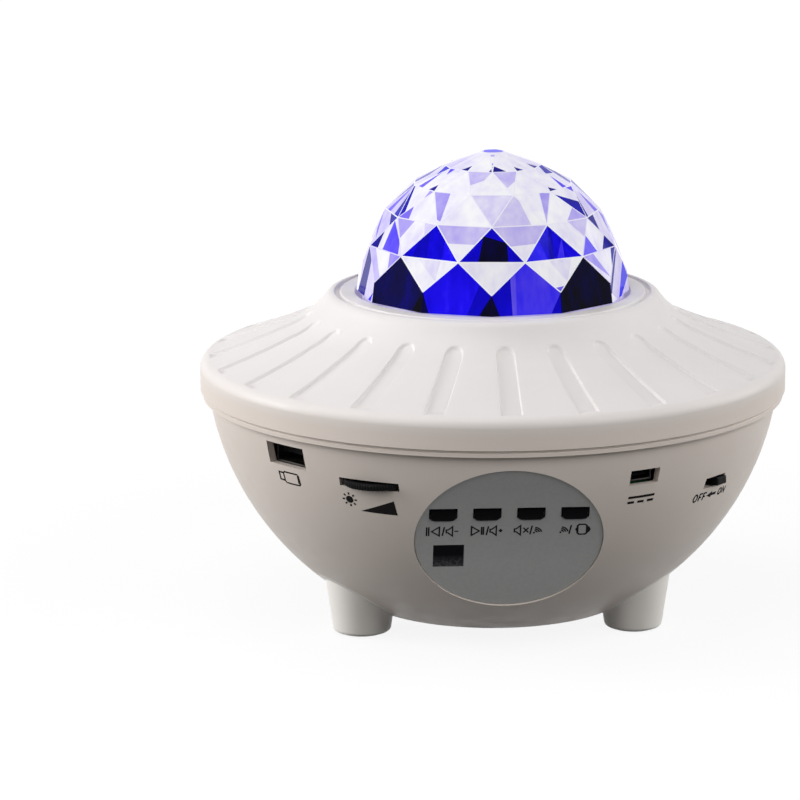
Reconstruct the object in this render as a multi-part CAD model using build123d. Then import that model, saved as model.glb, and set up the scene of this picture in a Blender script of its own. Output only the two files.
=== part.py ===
from build123d import *
import os
from math import acos, asin, cos, degrees, pi, radians, sin, sqrt, tan

# Saucer-shaped night light projector, in millimetres.
# +Z is up, z = 0 is the underside of the foot pads, the control panel faces -Y, the origin is
# on the axis. Azimuths are degrees from the front, positive towards +X.

# ---------------------------------------------------------------- how solids are joined and cut
past = 1.0                   # how far a cut runs past the face that it opens
overlap = 0.5                # how far a solid reaches into the one that it is joined to
press_fit = 0.01             # between a pressed-in part and its seat, all round
hole_gap = 0.2               # screw to the hole that it passes, all round
cut_depth = 16.0             # of the cuts through the bowl's wall

# ---------------------------------------------------------------- saucer lid
rim_radius = 82.5            # outside of the vertical band
parting_z = 65.0             # where the lid stands on the bowl
band_height = 6.4
band_edge_round = 0.7
crease_width = 2.2           # how far the top edge of the band rolls in
crease_height = 3.0
collar_rise = 27.6           # top of the collar above the parting line
collar_width = 8.45          # from the opening to the collar's edge
collar_shoulder = 2.4
collar_drop = 1.4
throat_width = 10.8          # from the collar's edge to where the brim starts
throat_fall = 9.7            # from the collar's top to where the brim starts
throat_facing = 33.0         # where the skin faces at the throat's top, degrees above the horizontal
brim_facing = 66.0           # where the brim starts
edge_facing = 72.0           # where the brim ends
shoulder_bulge = 0.35        # heights of the arcs of the outline, from the collar to the band
throat_hollow = 1.05
brim_hollow = 0.35
crease_bulge = 0.6
lid_wall = 2.2
collar_groove_place = 4.95   # middle of the groove, from the opening
collar_groove_width = 1.5
collar_groove_depth = 0.8
flute_count = 24
flute_start_gap = 3.8        # from the collar's edge to a flute
flute_end_gap = 2.7          # from the end of a flute to the rim
flute_inner_width = 4.8
flute_outer_width = 5.6
flute_depth = 0.85
flute_fade = 3.0             # length over which a flute runs out
fade_depth = 3.0             # of the ramp that ends the flutes

# ---------------------------------------------------------------- bowl
bowl_inset = 2.25            # bowl radius at the parting line, short of the rim
bowl_floor_radius = 38.44    # where the sphere meets the flat floor
bowl_wall = 2.2
bowl_floor_z = 4.7
bowl_floor_wall = 2.3
flange_proud = 1.6
flange_height = 1.25
flange_edge_cut = 0.3
flange_groove = 0.5          # depth of the fine groove in the wall below the flange
flange_groove_height = 0.4
lip_gap = 0.3                # lid lip to the inside of the bowl
lip_wall = 1.6
lip_depth = 2.0
ledge_thickness = 1.8        # inner ledge of the lid that stands on the bowl

# ---------------------------------------------------------------- feet and case screws
foot_count = 3
foot_shift = 2.5             # foot's middle, inward of its screw
foot_radius = 8.0
foot_taper = 0.15            # growth of the radius per millimetre of height
foot_height = 18.0
foot_edge_round = 1.2
pad_radius = 6.4
pad_thickness = 1.2
pad_proud = 0.3
post_gap = 1.5               # lid post to the dome ring
well_radius = 3.4
boss_wall = 1.8
boss_top_z = 36.0
boss_web = 2.0
post_radius = 3.4
case_screw_radius = 1.5
case_screw_length = 14.0
case_head_radius = 2.8
case_head_height = 2.0
case_hole_gap = 0.3          # screw to the hole in its boss
pad_gap = 0.1                # pad to its recess
thread_gap = 0.05            # screw to its hole

# ---------------------------------------------------------------- faceted dome
dome_radius = 38.1           # circle through the facet corners
dome_turn = -4.2             # azimuth of a corner of the lowest row
dome_rows = (8.6, 21.9, 37.6, 53.6, 69.2)   # heights of the corner rows, degrees
dome_crown_radius = 3.2      # corners of the flat crown
dome_crown_proud = 1.3       # crown above the sphere of the other corners
dome_sides = 12
dome_spread = 1.008          # foot corners' circle, as a share of the facet corners'
dome_wall = 1.8
dome_gap = 0.35              # dome corners to the collar opening
skirt_length = 7.0
dome_flange_reach = 2.5      # beyond the facet corners
dome_flange_thickness = 1.6
dome_flange_gap = 0.3        # flange to its recess in the lid

# ---------------------------------------------------------------- lamp unit
ring_thickness = 2.2
ring_reach = 1.0             # beyond the dome's flange
ear_reach = 4.4              # ear's screw beyond the ring
ear_radius = 3.2
ear_count = 3
ear_first = 0.0              # azimuth of the first ear
cup_flange_thickness = 2.0
cup_radius = 33.0
cup_wall = 1.8
cup_depth = 13.8
cup_floor = 2.0
lamp_screw_radius = 1.15
lamp_screw_length = 9.0
lamp_hole_spare = 0.4        # hole beyond the screw's tip
lead_hole_radius = 3.0       # holes in the cup's floor for the leads
lead_hole_circle = 25.0
lead_hole_angles = (45.0, 270.0)
small_head_radius = 2.2
small_head_height = 1.5
disc_gap = 5.0               # disc to the inside of the dome
disc_thickness = 2.2
disc_drop = 6.6              # underside of the disc below the collar top
disc_rim_width = 1.2
disc_rim_rise = 0.8          # the disc's rim above its face
disc_hub_radius = 4.5
disc_hub_rise = 3.0
axle_radius = 1.5
axle_boss_radius = 3.5
axle_end = 0.8               # axle beyond its clip
axle_end_cut = 0.3
turning_gap = 0.3            # between faces that turn past each other
shaft_fit = 0.05             # radial running fit
clip_radius = 3.0
clip_thickness = 0.8
gear_module = 0.8
pressure_angle = 25.0
tooth_addendum = 0.8         # in modules
tooth_dedendum = 1.05
tooth_backlash = 0.16
flank_steps = 3
gear_spread = 0.05           # added to the gears' centre distance
disc_gear_teeth = 20
drive_gear_teeth = 12
gear_face = 4.0
motor_azimuth = 180.0
motor_radius = 8.0
motor_height = 12.5
motor_edge_round = 0.8
motor_boss_radius = 3.0
motor_boss_rise = 0.6
motor_shaft_hole = 6.0       # depth of the hole for the shaft
motor_shaft_radius = 1.0
motor_socket_wall = 1.3
motor_socket_height = 4.0
lamp_azimuth = 0.0
lamp_offset = 19.0
sink_radius = 11.5
sink_height = 6.0
sink_base = 1.6
sink_fin = 1.0
sink_fin_pitch = 2.6
led_board_radius = 10.5
led_board_thickness = 1.4
led_size = 3.4
led_height = 1.0
led_pitch = 4.4
reflector_top_radius = 9.5
reflector_foot_radius = 6.8
reflector_wall = 1.0
reflector_height = 8.5
laser_azimuth = 90.0
laser_offset = 20.0
laser_radius = 5.0
laser_height = 14.0
laser_socket_height = 4.0
laser_wall = 1.0
grating_thickness = 1.2
grating_sunk = 0.4
grating_gap = 0.02

# ---------------------------------------------------------------- control panel
panel_radius = 25.45
panel_top_drop = 5.4         # panel's top edge below the parting line
panel_sunk = 0.45
panel_thickness = 1.0
panel_gap = 0.2
panel_seat = 1.8
panel_seat_margin = 1.5
button_pitch = 11.76
button_aside = -0.16         # middle of the row across the panel
button_row = 9.0             # above the panel centre, along the panel
button_width = 7.2
button_height = 4.25
button_chamfer = 1.1
button_gap = 0.2
button_hole_spare = 0.1      # hole in the bowl's seat wider than the one in the panel
button_edge_cut = 0.25
button_proud = 0.5
button_travel = 0.6
button_stop = 1.0            # how far the flange stands out round the cap
button_flange = 1.0
button_stem_radius = 1.3
button_stem = 0.6
window_width = 8.2
window_height = 8.1
window_side = -16.05
window_row = -6.3
window_ledge = 0.8
window_gap = 0.05            # to the hole in the panel
light_hole_depth = 10.0
receiver_width = 6.4
receiver_depth = 6.0
receiver_height = 3.4
receiver_lens_radius = 2.0
switch_size = 4.5
switch_height = 2.2
switch_stem_radius = 1.2
switch_stem = 0.8
key_board_width = 47.0
key_board_height = 27.0
key_board_row = 0.8
key_board_thickness = 1.2
key_screw_length = 5.0
board_head_radius = 1.9      # heads of the screws of the boards and the speaker
board_head_height = 1.2
key_post_radius = 2.1
key_post_places = ((-21.0, 1.0), (21.0, 1.0), (-8.5, -10.0), (8.5, -10.0))

# ---------------------------------------------------------------- main board and what it carries
board_drop = 12.55           # top of the board below the parting line
board_thickness = 1.6
board_margin = 2.1           # board edge to the bowl
board_back_y = -24.0
board_front_y = -60.5        # front edge, behind the key board
board_bay_gap = 4.0          # beside the key board
board_post_radius = 2.6
board_notch_gap = 1.2        # board to the lid's posts
board_posts = ((-14.0, -45.0), (14.0, -45.0), (-52.0, -31.0), (52.0, -31.0))
small_screw_radius = 1.0
small_screw_length = 6.0
board_chips = (              # middle across and along the board, then width, length and height
    (-4.0, -38.0, 10.0, 10.0, 1.4),   # processor
    (8.0, -54.0, 6.0, 5.0, 1.6),      # amplifier
    (27.0, -36.0, 13.0, 17.0, 2.2),   # radio module
)
capacitors = ((-20.0, -34.0), (-28.0, -34.0))
capacitor_radius = 3.2
capacitor_height = 7.0
cutout_gap = 0.6             # socket shell to the inside of the bowl wall
leg_width = 0.8              # legs of the sockets' shells
leg_depth = 3.0
leg_overlap = 0.3
leg_place = 0.72             # from the socket's mouth, as a share of its length

usb_azimuth = -48.8
usb_drop = 7.0               # middle of the socket below the parting line
usb_cutout_side = 0.65       # shell to the sides of its window
usb_cutout_top = 0.25        # shell to the top and foot of its window
usb_width = 13.2
usb_height = 5.7
usb_length = 14.0
usb_sheet = 0.4
usb_tongue_width = 11.1
usb_tongue_thickness = 1.8
usb_tongue_setback = 1.2
usb_tongue_rise = 0.7
usb_block_length = 5.0

power_azimuth = 27.6
power_drop = 10.1
power_cutout_side = 0.8
power_cutout_top = 0.75
power_width = 7.6
power_height = 2.9
power_length = 5.8
power_sheet = 0.35
power_block_length = 1.8
power_tongue_width = 5.4
power_tongue_thickness = 0.7
power_tongue_setback = 0.85

dial_azimuth = -28.9
dial_drop = 11.45
dial_radius = 9.2
dial_thickness = 1.6
dial_proud = 3.6
dial_notches = 36
dial_notch_radius = 0.25
dial_slot_end = 0.3          # dial to the ends of its slot
dial_slot_side = 0.4         # dial to the sides of its slot
dial_body_width = 10.0
dial_body_length = 9.0
dial_body_height = 3.0
dial_spindle_radius = 1.3
dial_shoulder_radius = 1.8
dial_wall_gap = 0.25          # spindle to the inside of the bowl wall
dial_cap_radius = 2.4
dial_cap_height = 0.6

slider_azimuth = 48.7
slider_drop = 16.35
slider_slot_end = 0.6        # knob at its limit to the end of the slot
slider_slot_side = 0.45
slider_travel = 3.6
slider_knob_width = 4.2
slider_knob_height = 2.2
slider_proud = 1.3
slider_edge_cut = 0.3
slider_wall_gap = 0.5        # switch to the inside of the bowl wall
slider_body_width = 12.0
slider_body_height = 5.0
slider_body_length = 6.0
slider_channel = 2.6
slider_gap = 0.3
slider_neck_cut = 0.3        # the knob's neck in the switch is slimmer all round

# ---------------------------------------------------------------- speaker
speaker_radius = 25.0
speaker_flange = 1.4
speaker_depth = 12.0
speaker_neck_radius = 15.0
speaker_sheet = 0.8
speaker_windows = 6
speaker_window_radius = 3.6
speaker_window_place = 0.55  # height of the windows, as a share of the basket's
basket_lip = 1.5             # basket inside the cone's neck
speaker_ear_reach = 3.0      # ear's screw beyond the flange
speaker_ear_radius = 2.8
speaker_ear_angles = (45.0, 135.0, 225.0, 315.0)
speaker_gap = 0.3
speaker_fence_wall = 1.3
speaker_fence_height = 2.2
speaker_screw_web = 0.8
speaker_screw_length = 2.6
magnet_radius = 16.0
magnet_height = 7.0
magnet_edge_cut = 0.8
surround_width = 3.6
cone_neck_radius = 6.5
cone_height = 7.5
cone_thickness = 0.5
cone_rim = 0.6               # flat rim of the cone
cap_outside = 0.4            # dust cap's faces, beyond and inside the cone's neck
cap_inside = 0.2
former_overlap = 0.3
former_rise = 2.2
surround_seat = 2.4          # outer edge of the surround, inward of the flange's edge
surround_roll = 0.7
surround_inner_gap = 0.02    # to the cone
surround_outer_gap = 0.05    # to the basket
grille_rings = (0.0, 6.5, 13.0, 19.5)
grille_hole_radius = 1.5
grille_pitch = 6.4

# ---------------------------------------------------------------- worked out from the above
bowl_rim = rim_radius - bowl_inset
bowl_span = bowl_rim ** 2 + parting_z ** 2 - bowl_floor_radius ** 2 - bowl_floor_z ** 2
bowl_centre_z = bowl_span / 2 / (parting_z - bowl_floor_z)
bowl_radius = sqrt(bowl_rim ** 2 + (bowl_centre_z - parting_z) ** 2)
bowl_inner_radius = bowl_radius - bowl_wall
bowl_inside_z = bowl_floor_z + bowl_floor_wall
band_top_z = parting_z + band_height
collar_top_z = parting_z + collar_rise
throat_foot_z = collar_top_z - throat_fall
brim_radius = rim_radius - crease_width
brim_z = band_top_z + crease_height
foot_angles = [60.0 + 360.0 / foot_count * i for i in range(foot_count)]
ear_angles = [ear_first + 360.0 / ear_count * i for i in range(ear_count)]
dome_bore = dome_radius * cos(pi / dome_sides) - dome_wall
dome_flange_radius = dome_radius + dome_flange_reach
opening_radius = dome_radius * dome_spread + dome_gap
collar_radius = opening_radius + collar_width
collar_groove_radius = opening_radius + collar_groove_place
throat_foot_radius = collar_radius + throat_width
flute_start_radius = collar_radius + flute_start_gap
ring_radius = dome_flange_radius + ring_reach
ear_circle = ring_radius + ear_reach
screw_circle = ring_radius + post_gap + post_radius
foot_circle = screw_circle - foot_shift
disc_radius = dome_bore - disc_gap
dome_seat_z = collar_top_z - skirt_length
ring_top_z = dome_seat_z - dome_flange_thickness
ring_low_z = ring_top_z - ring_thickness
cup_flange_z = ring_low_z - cup_flange_thickness
cup_low_z = cup_flange_z - cup_depth
cup_floor_z = cup_low_z + cup_floor
disc_low_z = collar_top_z - disc_drop
disc_gear_z = disc_low_z - gear_face
axle_boss_z = disc_gear_z - turning_gap
gear_centres = gear_module * (disc_gear_teeth + drive_gear_teeth) / 2 + gear_spread
panel_edge_angle = asin(panel_radius / bowl_radius)
panel_top_angle = asin((bowl_centre_z - parting_z + panel_top_drop) / bowl_radius)
panel_tilt = degrees(panel_edge_angle + panel_top_angle)   # how far below the horizontal it faces
panel_distance = sqrt(bowl_radius ** 2 - panel_radius ** 2)
panel_seat_depth = panel_sunk + panel_thickness
panel_back_depth = panel_seat_depth + panel_seat
stem_end_depth = panel_back_depth + button_gap + button_flange + button_stem
switch_top_depth = stem_end_depth + button_travel + turning_gap
key_board_depth = switch_top_depth + switch_stem + switch_height
board_top_z = parting_z - board_drop
board_low_z = board_top_z - board_thickness
usb_z = parting_z - usb_drop
power_z = parting_z - power_drop
dial_z = parting_z - dial_drop
slider_z = parting_z - slider_drop
speaker_ear_circle = speaker_radius + speaker_ear_reach
surround_radius = speaker_radius - surround_seat
cone_radius = surround_radius - surround_width

RISING = (Align.CENTER, Align.CENTER, Align.MIN)
HANGING = (Align.CENTER, Align.CENTER, Align.MAX)
UNDER_AND_BEHIND = (Align.CENTER, Align.MAX, Align.MAX)


# ---------------------------------------------------------------- helpers
def spot(radius, azimuth):
    """Plan position at a radius and an azimuth from the front."""
    turn = radians(azimuth)
    return radius * sin(turn), -radius * cos(turn)


def rod(radius, low, high, at=(0.0, 0.0)):
    """Upright cylinder between two heights."""
    return Pos(at[0], at[1], low) * Cylinder(radius, high - low, align=RISING)


def tube(outer, inner, low, high, at=(0.0, 0.0)):
    """Upright ring between two heights."""
    return rod(outer, low, high, at) - rod(inner, low - past, high + past, at)


def slab(low, high, size=400.0):
    """Everything between two heights."""
    return Pos(0, 0, low) * Box(size, size, high - low, align=RISING)


def facing_out(radius, azimuth, z):
    """Plane on a radius: local x to the right seen from outside, y up, z outward."""
    turn = radians(azimuth)
    x, y = spot(radius, azimuth)
    return Plane(origin=(x, y, z), x_dir=(cos(turn), sin(turn), 0), z_dir=(sin(turn), -cos(turn), 0))


def panel_plane(depth):
    """Plane of the control panel, sunk by depth: local x right, y up the panel, z outward."""
    tilt = radians(panel_tilt)
    out = Vector(0, -cos(tilt), -sin(tilt))
    centre = Vector(0, 0, bowl_centre_z) + out * (panel_distance - depth)
    return Plane(origin=centre, x_dir=(1, 0, 0), z_dir=out)


def wall_radius(z, sphere_radius, aside=0.0):
    """Plan distance from the axis to a sphere of the bowl, along a line that passes aside."""
    return sqrt(sphere_radius ** 2 - (z - bowl_centre_z) ** 2 - aside ** 2)


def turned(edges):
    """Solid turned about the axis from a closed outline of radius and height."""
    return revolve(Plane.XZ * make_face(edges), Axis.Z)


def turned_polygon(points):
    """Solid turned about the axis from straight-sided radius and height points."""
    return turned([Polyline(*points, close=True)])


def pan_screw(head_radius, head_height, shank_radius, length):
    """Pan-head screw, its head's seat at z = 0 and its shank up +Z: a cross recess and a blunt tip."""
    head = Pos(0, 0, -head_height) * Cylinder(head_radius, head_height, align=RISING)
    head = chamfer(head.edges().sort_by(Axis.Z)[0], head_height * 0.4)
    bar = Box(head_radius * 1.1, head_radius * 0.3, head_height * 0.5, align=RISING)
    recess = Pos(0, 0, -head_height) * (bar + Rot(0, 0, 90) * bar)
    tip = min(shank_radius * 0.6, length * 0.2)
    shank = Cylinder(shank_radius, length, align=RISING)
    shank = chamfer(shank.edges().sort_by(Axis.Z)[-1], tip)
    return head + shank - recess


def inward(radius, z, facing, inset):
    """Profile point moved by inset against the direction that its surface faces, in degrees."""
    turn = radians(facing)
    return radius - inset * cos(turn), z - inset * sin(turn)


def saucer(inset=0.0):
    """Solid saucer from the collar to the parting line, or the hollow inside its wall."""
    collar = inward(collar_radius - collar_shoulder, collar_top_z, 90, inset)
    throat = inward(collar_radius, collar_top_z - collar_drop, throat_facing, inset)
    brim = inward(throat_foot_radius, throat_foot_z, brim_facing, inset)
    edge = inward(brim_radius, brim_z, edge_facing, inset)
    band = inward(rim_radius, band_top_z, 0, inset)
    outline = [
        Line((0, collar[1]), collar),
        SagittaArc(collar, throat, shoulder_bulge),
        SagittaArc(throat, brim, -throat_hollow),
        SagittaArc(brim, edge, -brim_hollow),
        SagittaArc(edge, band, crease_bulge),
    ]
    if inset:
        open_z = parting_z - past
        outline.append(Polyline(band, (band[0], open_z), (0, open_z), (0, collar[1])))
    else:
        band_foot = (rim_radius, parting_z + band_edge_round)
        foot = (rim_radius - band_edge_round, parting_z)
        outline.append(Line(band, band_foot))
        outline.append(SagittaArc(band_foot, foot, band_edge_round * (1 - sqrt(0.5))))
        outline.append(Polyline(foot, (0, parting_z), (0, collar_top_z)))
    return turned(outline)


# ---------------------------------------------------------------- casing
def flute_prism():
    """Plan outline of one flute at the front, as a tall prism."""
    inner = flute_inner_width / 2
    outer = flute_outer_width / 2
    start = flute_start_radius + inner
    end = rim_radius - flute_end_gap
    sides = Polyline((-inner, -start), (inner, -start), (outer, -end), (-outer, -end), close=True)
    plan = make_face(sides) + Pos(0, -start) * Circle(inner)
    return Pos(0, 0, parting_z) * extrude(plan, collar_top_z - parting_z)


def flutes():
    """The shallow radial flutes, which run out before the rim."""
    floor = Pos(0, 0, -flute_depth) * saucer()
    end = rim_radius - flute_end_gap
    slope = (throat_foot_z - brim_z) / (brim_radius - throat_foot_radius)
    end_z = brim_z + slope * (brim_radius - end)
    fade_z = end_z + slope * flute_fade - flute_depth
    ramp = turned_polygon([
        (end - flute_fade, fade_z),
        (end - flute_fade, fade_z - fade_depth),
        (end + past, end_z - fade_depth - past),
        (end + past, end_z + (flute_depth / flute_fade - slope) * past),
    ])
    prisms = [Rot(0, 0, 360.0 / flute_count * i) * flute_prism() for i in range(flute_count)]
    return Part() + prisms - floor - ramp


def make_upper_cover():
    """Fluted saucer lid with its collar, dome seat, lip, screw posts and lamp bosses."""
    skin = saucer()
    opening = rod(opening_radius, parting_z, collar_top_z + past)
    lip_radius = wall_radius(parting_z - lip_depth, bowl_inner_radius) - lip_gap
    lid = skin - saucer(lid_wall)
    lid += tube(rim_radius - lid_wall, lip_radius - lip_wall, parting_z, parting_z + ledge_thickness)
    lid += tube(lip_radius, lip_radius - lip_wall, parting_z - lip_depth, parting_z + ledge_thickness / 2)
    lid += tube(opening_radius + lid_wall, opening_radius, dome_seat_z, collar_top_z - lid_wall / 2)
    for angle in foot_angles:
        at = spot(screw_circle, angle)
        lid += rod(post_radius, boss_top_z, collar_top_z, at) & skin_with_inside(skin)
        lid -= rod(case_screw_radius + thread_gap, boss_top_z - past, boss_top_z + case_screw_length, at)
    lamp_hole_z = cup_flange_z + lamp_screw_length + lamp_hole_spare
    for angle in ear_angles:
        at = spot(ear_circle, angle)
        lid += rod(ear_radius, ring_top_z, collar_top_z, at) & skin
        lid -= rod(lamp_screw_radius + thread_gap, ring_top_z - past, lamp_hole_z, at)
    lid -= flutes()
    lid -= opening
    lid -= rod(dome_flange_radius + dome_flange_gap, ring_top_z - past, dome_seat_z)
    lid -= tube(
        collar_groove_radius + collar_groove_width / 2,
        collar_groove_radius - collar_groove_width / 2,
        collar_top_z - collar_groove_depth,
        collar_top_z + past,
    )
    return lid


def skin_with_inside(skin):
    """The solid saucer with the space below it, where the screw posts may reach."""
    return skin + rod(screw_circle + post_radius + past, boss_top_z - past, parting_z + overlap)


def make_lower_bowl():
    """Bowl with flange, panel seat, wall openings, feet, bosses and speaker grille."""
    ball = Pos(0, 0, bowl_centre_z) * Sphere(bowl_radius)
    inner_ball = Pos(0, 0, bowl_centre_z) * Sphere(bowl_inner_radius)
    flange_radius = bowl_rim + flange_proud
    bowl = ball & slab(bowl_floor_z, parting_z)
    flange = rod(flange_radius, parting_z - flange_height, parting_z)
    bowl += chamfer(flange.edges().sort_by(Axis.Z)[-1], flange_edge_cut)
    groove_top = parting_z - flange_height
    groove_floor = wall_radius(groove_top, bowl_radius) - flange_groove
    bowl -= tube(flange_radius, groove_floor, groove_top - flange_groove_height, groove_top)
    for angle in foot_angles:
        bowl += foot(angle)
    hollow = inner_ball & slab(bowl_inside_z, parting_z + past)
    seat_block = Cylinder(panel_radius + panel_seat_margin, cut_depth, align=RISING)
    seat_block = panel_plane(panel_back_depth) * seat_block
    bowl -= hollow - seat_block
    bowl -= panel_plane(panel_seat_depth) * Cylinder(panel_radius, cut_depth, align=RISING)
    for angle in foot_angles:
        bowl = with_screw_boss(bowl, angle)
    for x, y in board_posts:
        post = rod(board_post_radius, bowl_inside_z, board_low_z, (x, y)) & ball
        hole_z = board_low_z - small_screw_length - past
        hole = rod(small_screw_radius + thread_gap, hole_z, board_low_z + past, (x, y))
        bowl += post - hole
    bowl = with_key_posts(bowl)
    bowl = with_wall_openings(bowl)
    return with_speaker_seat(bowl)


def foot(azimuth):
    """One tapered foot, edge rounded, left solid up into the bowl."""
    top_radius = foot_radius + foot_taper * foot_height
    body = Cone(foot_radius, top_radius, foot_height, align=RISING)
    body = fillet(body.edges().sort_by(Axis.Z)[0], foot_edge_round)
    x, y = spot(foot_circle, azimuth)
    return Pos(x, y, pad_proud) * body


def with_screw_boss(bowl, azimuth):
    """Adds one case-screw boss over a foot, its driver well and the recess for the pad."""
    at = spot(screw_circle, azimuth)
    bowl += rod(well_radius + boss_wall, bowl_inside_z - bowl_floor_wall / 2, boss_top_z, at)
    bowl -= rod(well_radius, -past, boss_top_z - boss_web, at)
    bowl -= rod(case_screw_radius + case_hole_gap, 0, boss_top_z + past, at)
    return bowl - rod(pad_radius + pad_gap, -past, pad_thickness, spot(foot_circle, azimuth))


def with_key_posts(bowl):
    """Adds the posts of the key board behind the panel and cuts the panel's button holes."""
    length = key_board_depth - panel_back_depth
    post = Cylinder(key_post_radius, length + overlap, align=RISING)
    hole = Cylinder(small_screw_radius + thread_gap, length, align=RISING)
    for x, y in key_post_places:
        bowl += panel_plane(key_board_depth) * Pos(x, y) * post
        bowl -= panel_plane(key_board_depth) * Pos(x, y) * hole
    for side in button_sides():
        hole = extrude(key_outline(button_gap + button_hole_spare), panel_seat + past)
        bowl -= panel_plane(panel_back_depth + past) * Pos(side, button_row) * hole
    light_hole = Box(window_width - 2 * window_ledge, window_height - 2 * window_ledge, light_hole_depth)
    return bowl - panel_plane(panel_back_depth) * Pos(window_side, window_row) * light_hole


def with_wall_openings(bowl):
    """Cuts the sockets' windows and the slots of the dial and the slider."""
    usb_window = Box(usb_width + 2 * usb_cutout_side, usb_height + 2 * usb_cutout_top, cut_depth)
    power_window = Box(power_width + 2 * power_cutout_side, power_height + 2 * power_cutout_top, cut_depth)
    dial_slot = Box(dial_slot_width(), dial_thickness + 2 * dial_slot_side, cut_depth)
    slider_slot = Box(
        slider_knob_width + slider_travel + 2 * slider_slot_end,
        slider_knob_height + 2 * slider_slot_side,
        cut_depth,
    )
    for azimuth, z, opening in (
        (usb_azimuth, usb_z, usb_window),
        (power_azimuth, power_z, power_window),
        (dial_azimuth, dial_z, dial_slot),
        (slider_azimuth, slider_z, slider_slot),
    ):
        bowl -= facing_out(wall_radius(z, bowl_radius), azimuth, z) * opening
    return bowl


def dial_slot_width():
    """Length of the dial's slot: its chord where it passes the inside of the wall, and the gaps."""
    wall = wall_radius(dial_z, bowl_radius) - wall_radius(dial_z, bowl_inner_radius)
    half_chord = sqrt(dial_radius ** 2 - (dial_radius - dial_proud - wall) ** 2)
    return 2 * (half_chord + dial_slot_end)


def speaker_plan(grow=0.0):
    """Outline of the speaker's flange and four ears, grown all round."""
    plan = Circle(speaker_radius + grow)
    for angle in speaker_ear_angles:
        ear = Pos(0, -speaker_ear_circle) * Circle(speaker_ear_radius + grow)
        arm = Rectangle(2 * (speaker_ear_radius + grow), speaker_ear_circle)
        plan += Rot(0, 0, angle) * (ear + Pos(0, -speaker_ear_circle / 2) * arm)
    return plan


def with_speaker_seat(bowl):
    """Adds the wall round the speaker and drills the grille and the screw holes."""
    wall = speaker_plan(speaker_gap + speaker_fence_wall) - speaker_plan(speaker_gap)
    bowl += Pos(0, 0, bowl_inside_z - overlap) * extrude(wall, speaker_fence_height + overlap)
    hole_z = bowl_floor_z + speaker_screw_web
    for angle in speaker_ear_angles:
        at = spot(speaker_ear_circle, angle)
        bowl -= rod(small_screw_radius + thread_gap, hole_z, bowl_inside_z + past, at)
    for ring in grille_rings:
        count = max(1, int(2 * pi * ring / grille_pitch))
        for i in range(count):
            at = spot(ring, 360.0 / count * i)
            bowl -= rod(grille_hole_radius, bowl_floor_z - past, bowl_inside_z + past, at)
    return bowl


def make_foot_pads():
    """Rubber pads in the undersides of the feet."""
    return [rod(pad_radius, 0, pad_thickness, spot(foot_circle, a)) for a in foot_angles]


def make_case_screws():
    """Screws up through the feet into the lid's posts."""
    screw = pan_screw(case_head_radius, case_head_height, case_screw_radius, case_screw_length)
    seat = boss_top_z - boss_web
    return [Pos(*spot(screw_circle, a), seat) * screw for a in foot_angles]


# ---------------------------------------------------------------- dome
def dome_corner(row, step):
    """Corner of the dome's facets: rows alternate by half a step, and the crown comes last."""
    half = 0.0 if row % 2 == 0 else 0.5
    azimuth = dome_turn + 360.0 / dome_sides * (step + half)
    if row == len(dome_rows):
        reach, rise = dome_crown_radius, dome_radius + dome_crown_proud
    else:
        height = radians(dome_rows[row])
        reach, rise = dome_radius * cos(height), dome_radius * sin(height)
    x, y = spot(reach, azimuth)
    return Vector(x, y, collar_top_z + rise)


def dome_foot_corner(step):
    """Where the two lowest facets beside a corner meet the foot of the dome."""
    half_turn = pi / dome_sides
    low, next_up = radians(dome_rows[0]), radians(dome_rows[1])
    low_reach, low_rise = dome_radius * cos(low) * cos(half_turn), dome_radius * sin(low)
    up_reach, up_rise = dome_radius * cos(next_up), dome_radius * sin(next_up)
    flat = low_reach + (low_reach - up_reach) / (up_rise - low_rise) * low_rise
    x, y = spot(flat / cos(half_turn), dome_turn + 360.0 / dome_sides * step)
    return Vector(x, y, collar_top_z)


def facet(*corners):
    """Flat face through its corners."""
    return Face(Wire.make_polygon(list(corners), close=True))


def dome_facets():
    """All faces of the solid dome: kites at the foot, bands of triangles above, flat ends."""
    faces = []
    for i in range(dome_sides):
        foot_side = (dome_foot_corner(i), dome_foot_corner(i + 1))
        faces.append(facet(*foot_side, dome_corner(0, i + 1), dome_corner(1, i), dome_corner(0, i)))
        for row in range(len(dome_rows)):
            over = i + row % 2
            tip, above = dome_corner(row, i), dome_corner(row + 1, over)
            faces.append(facet(tip, above, dome_corner(row + 1, over - 1)))
            if row > 0:
                faces.append(facet(tip, dome_corner(row, i + 1), above))
    faces.append(facet(*[dome_corner(len(dome_rows), i) for i in range(dome_sides)]))
    faces.append(facet(*[dome_foot_corner(i) for i in range(dome_sides)]))
    return faces


def make_faceted_dome():
    """Clear dome: faceted outside, smooth inside, with a skirt and a clamping flange."""
    solid = Solid(Shell(dome_facets()))
    centre = Pos(0, 0, collar_top_z)
    skirt_radius = dome_bore + dome_wall
    dome = Part() + solid
    dome += rod(skirt_radius, ring_top_z, collar_top_z + overlap)
    dome += rod(dome_flange_radius, ring_top_z, dome_seat_z)
    return dome - centre * Sphere(dome_bore) - rod(dome_bore, ring_top_z - past, collar_top_z)


# ---------------------------------------------------------------- lamp unit
def eared_ring(outer, inner, low, high):
    """Flat ring with screw ears."""
    ring = rod(outer, low, high)
    for angle in ear_angles:
        ear = rod(ear_radius, low, high, spot(ear_circle, angle))
        arm = Rot(0, 0, angle) * Pos(0, -ear_circle / 2, low) * Box(
            2 * ear_radius, ear_circle, high - low, align=RISING)
        ring += ear + arm
    for angle in ear_angles:
        ring -= rod(lamp_screw_radius + hole_gap, low - past, high + past, spot(ear_circle, angle))
    return ring - rod(inner, low - past, high + past)


def make_dome_ring():
    """Ring that clamps the dome's flange against the lid."""
    return eared_ring(ring_radius, dome_bore, ring_low_z, ring_top_z)


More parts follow.
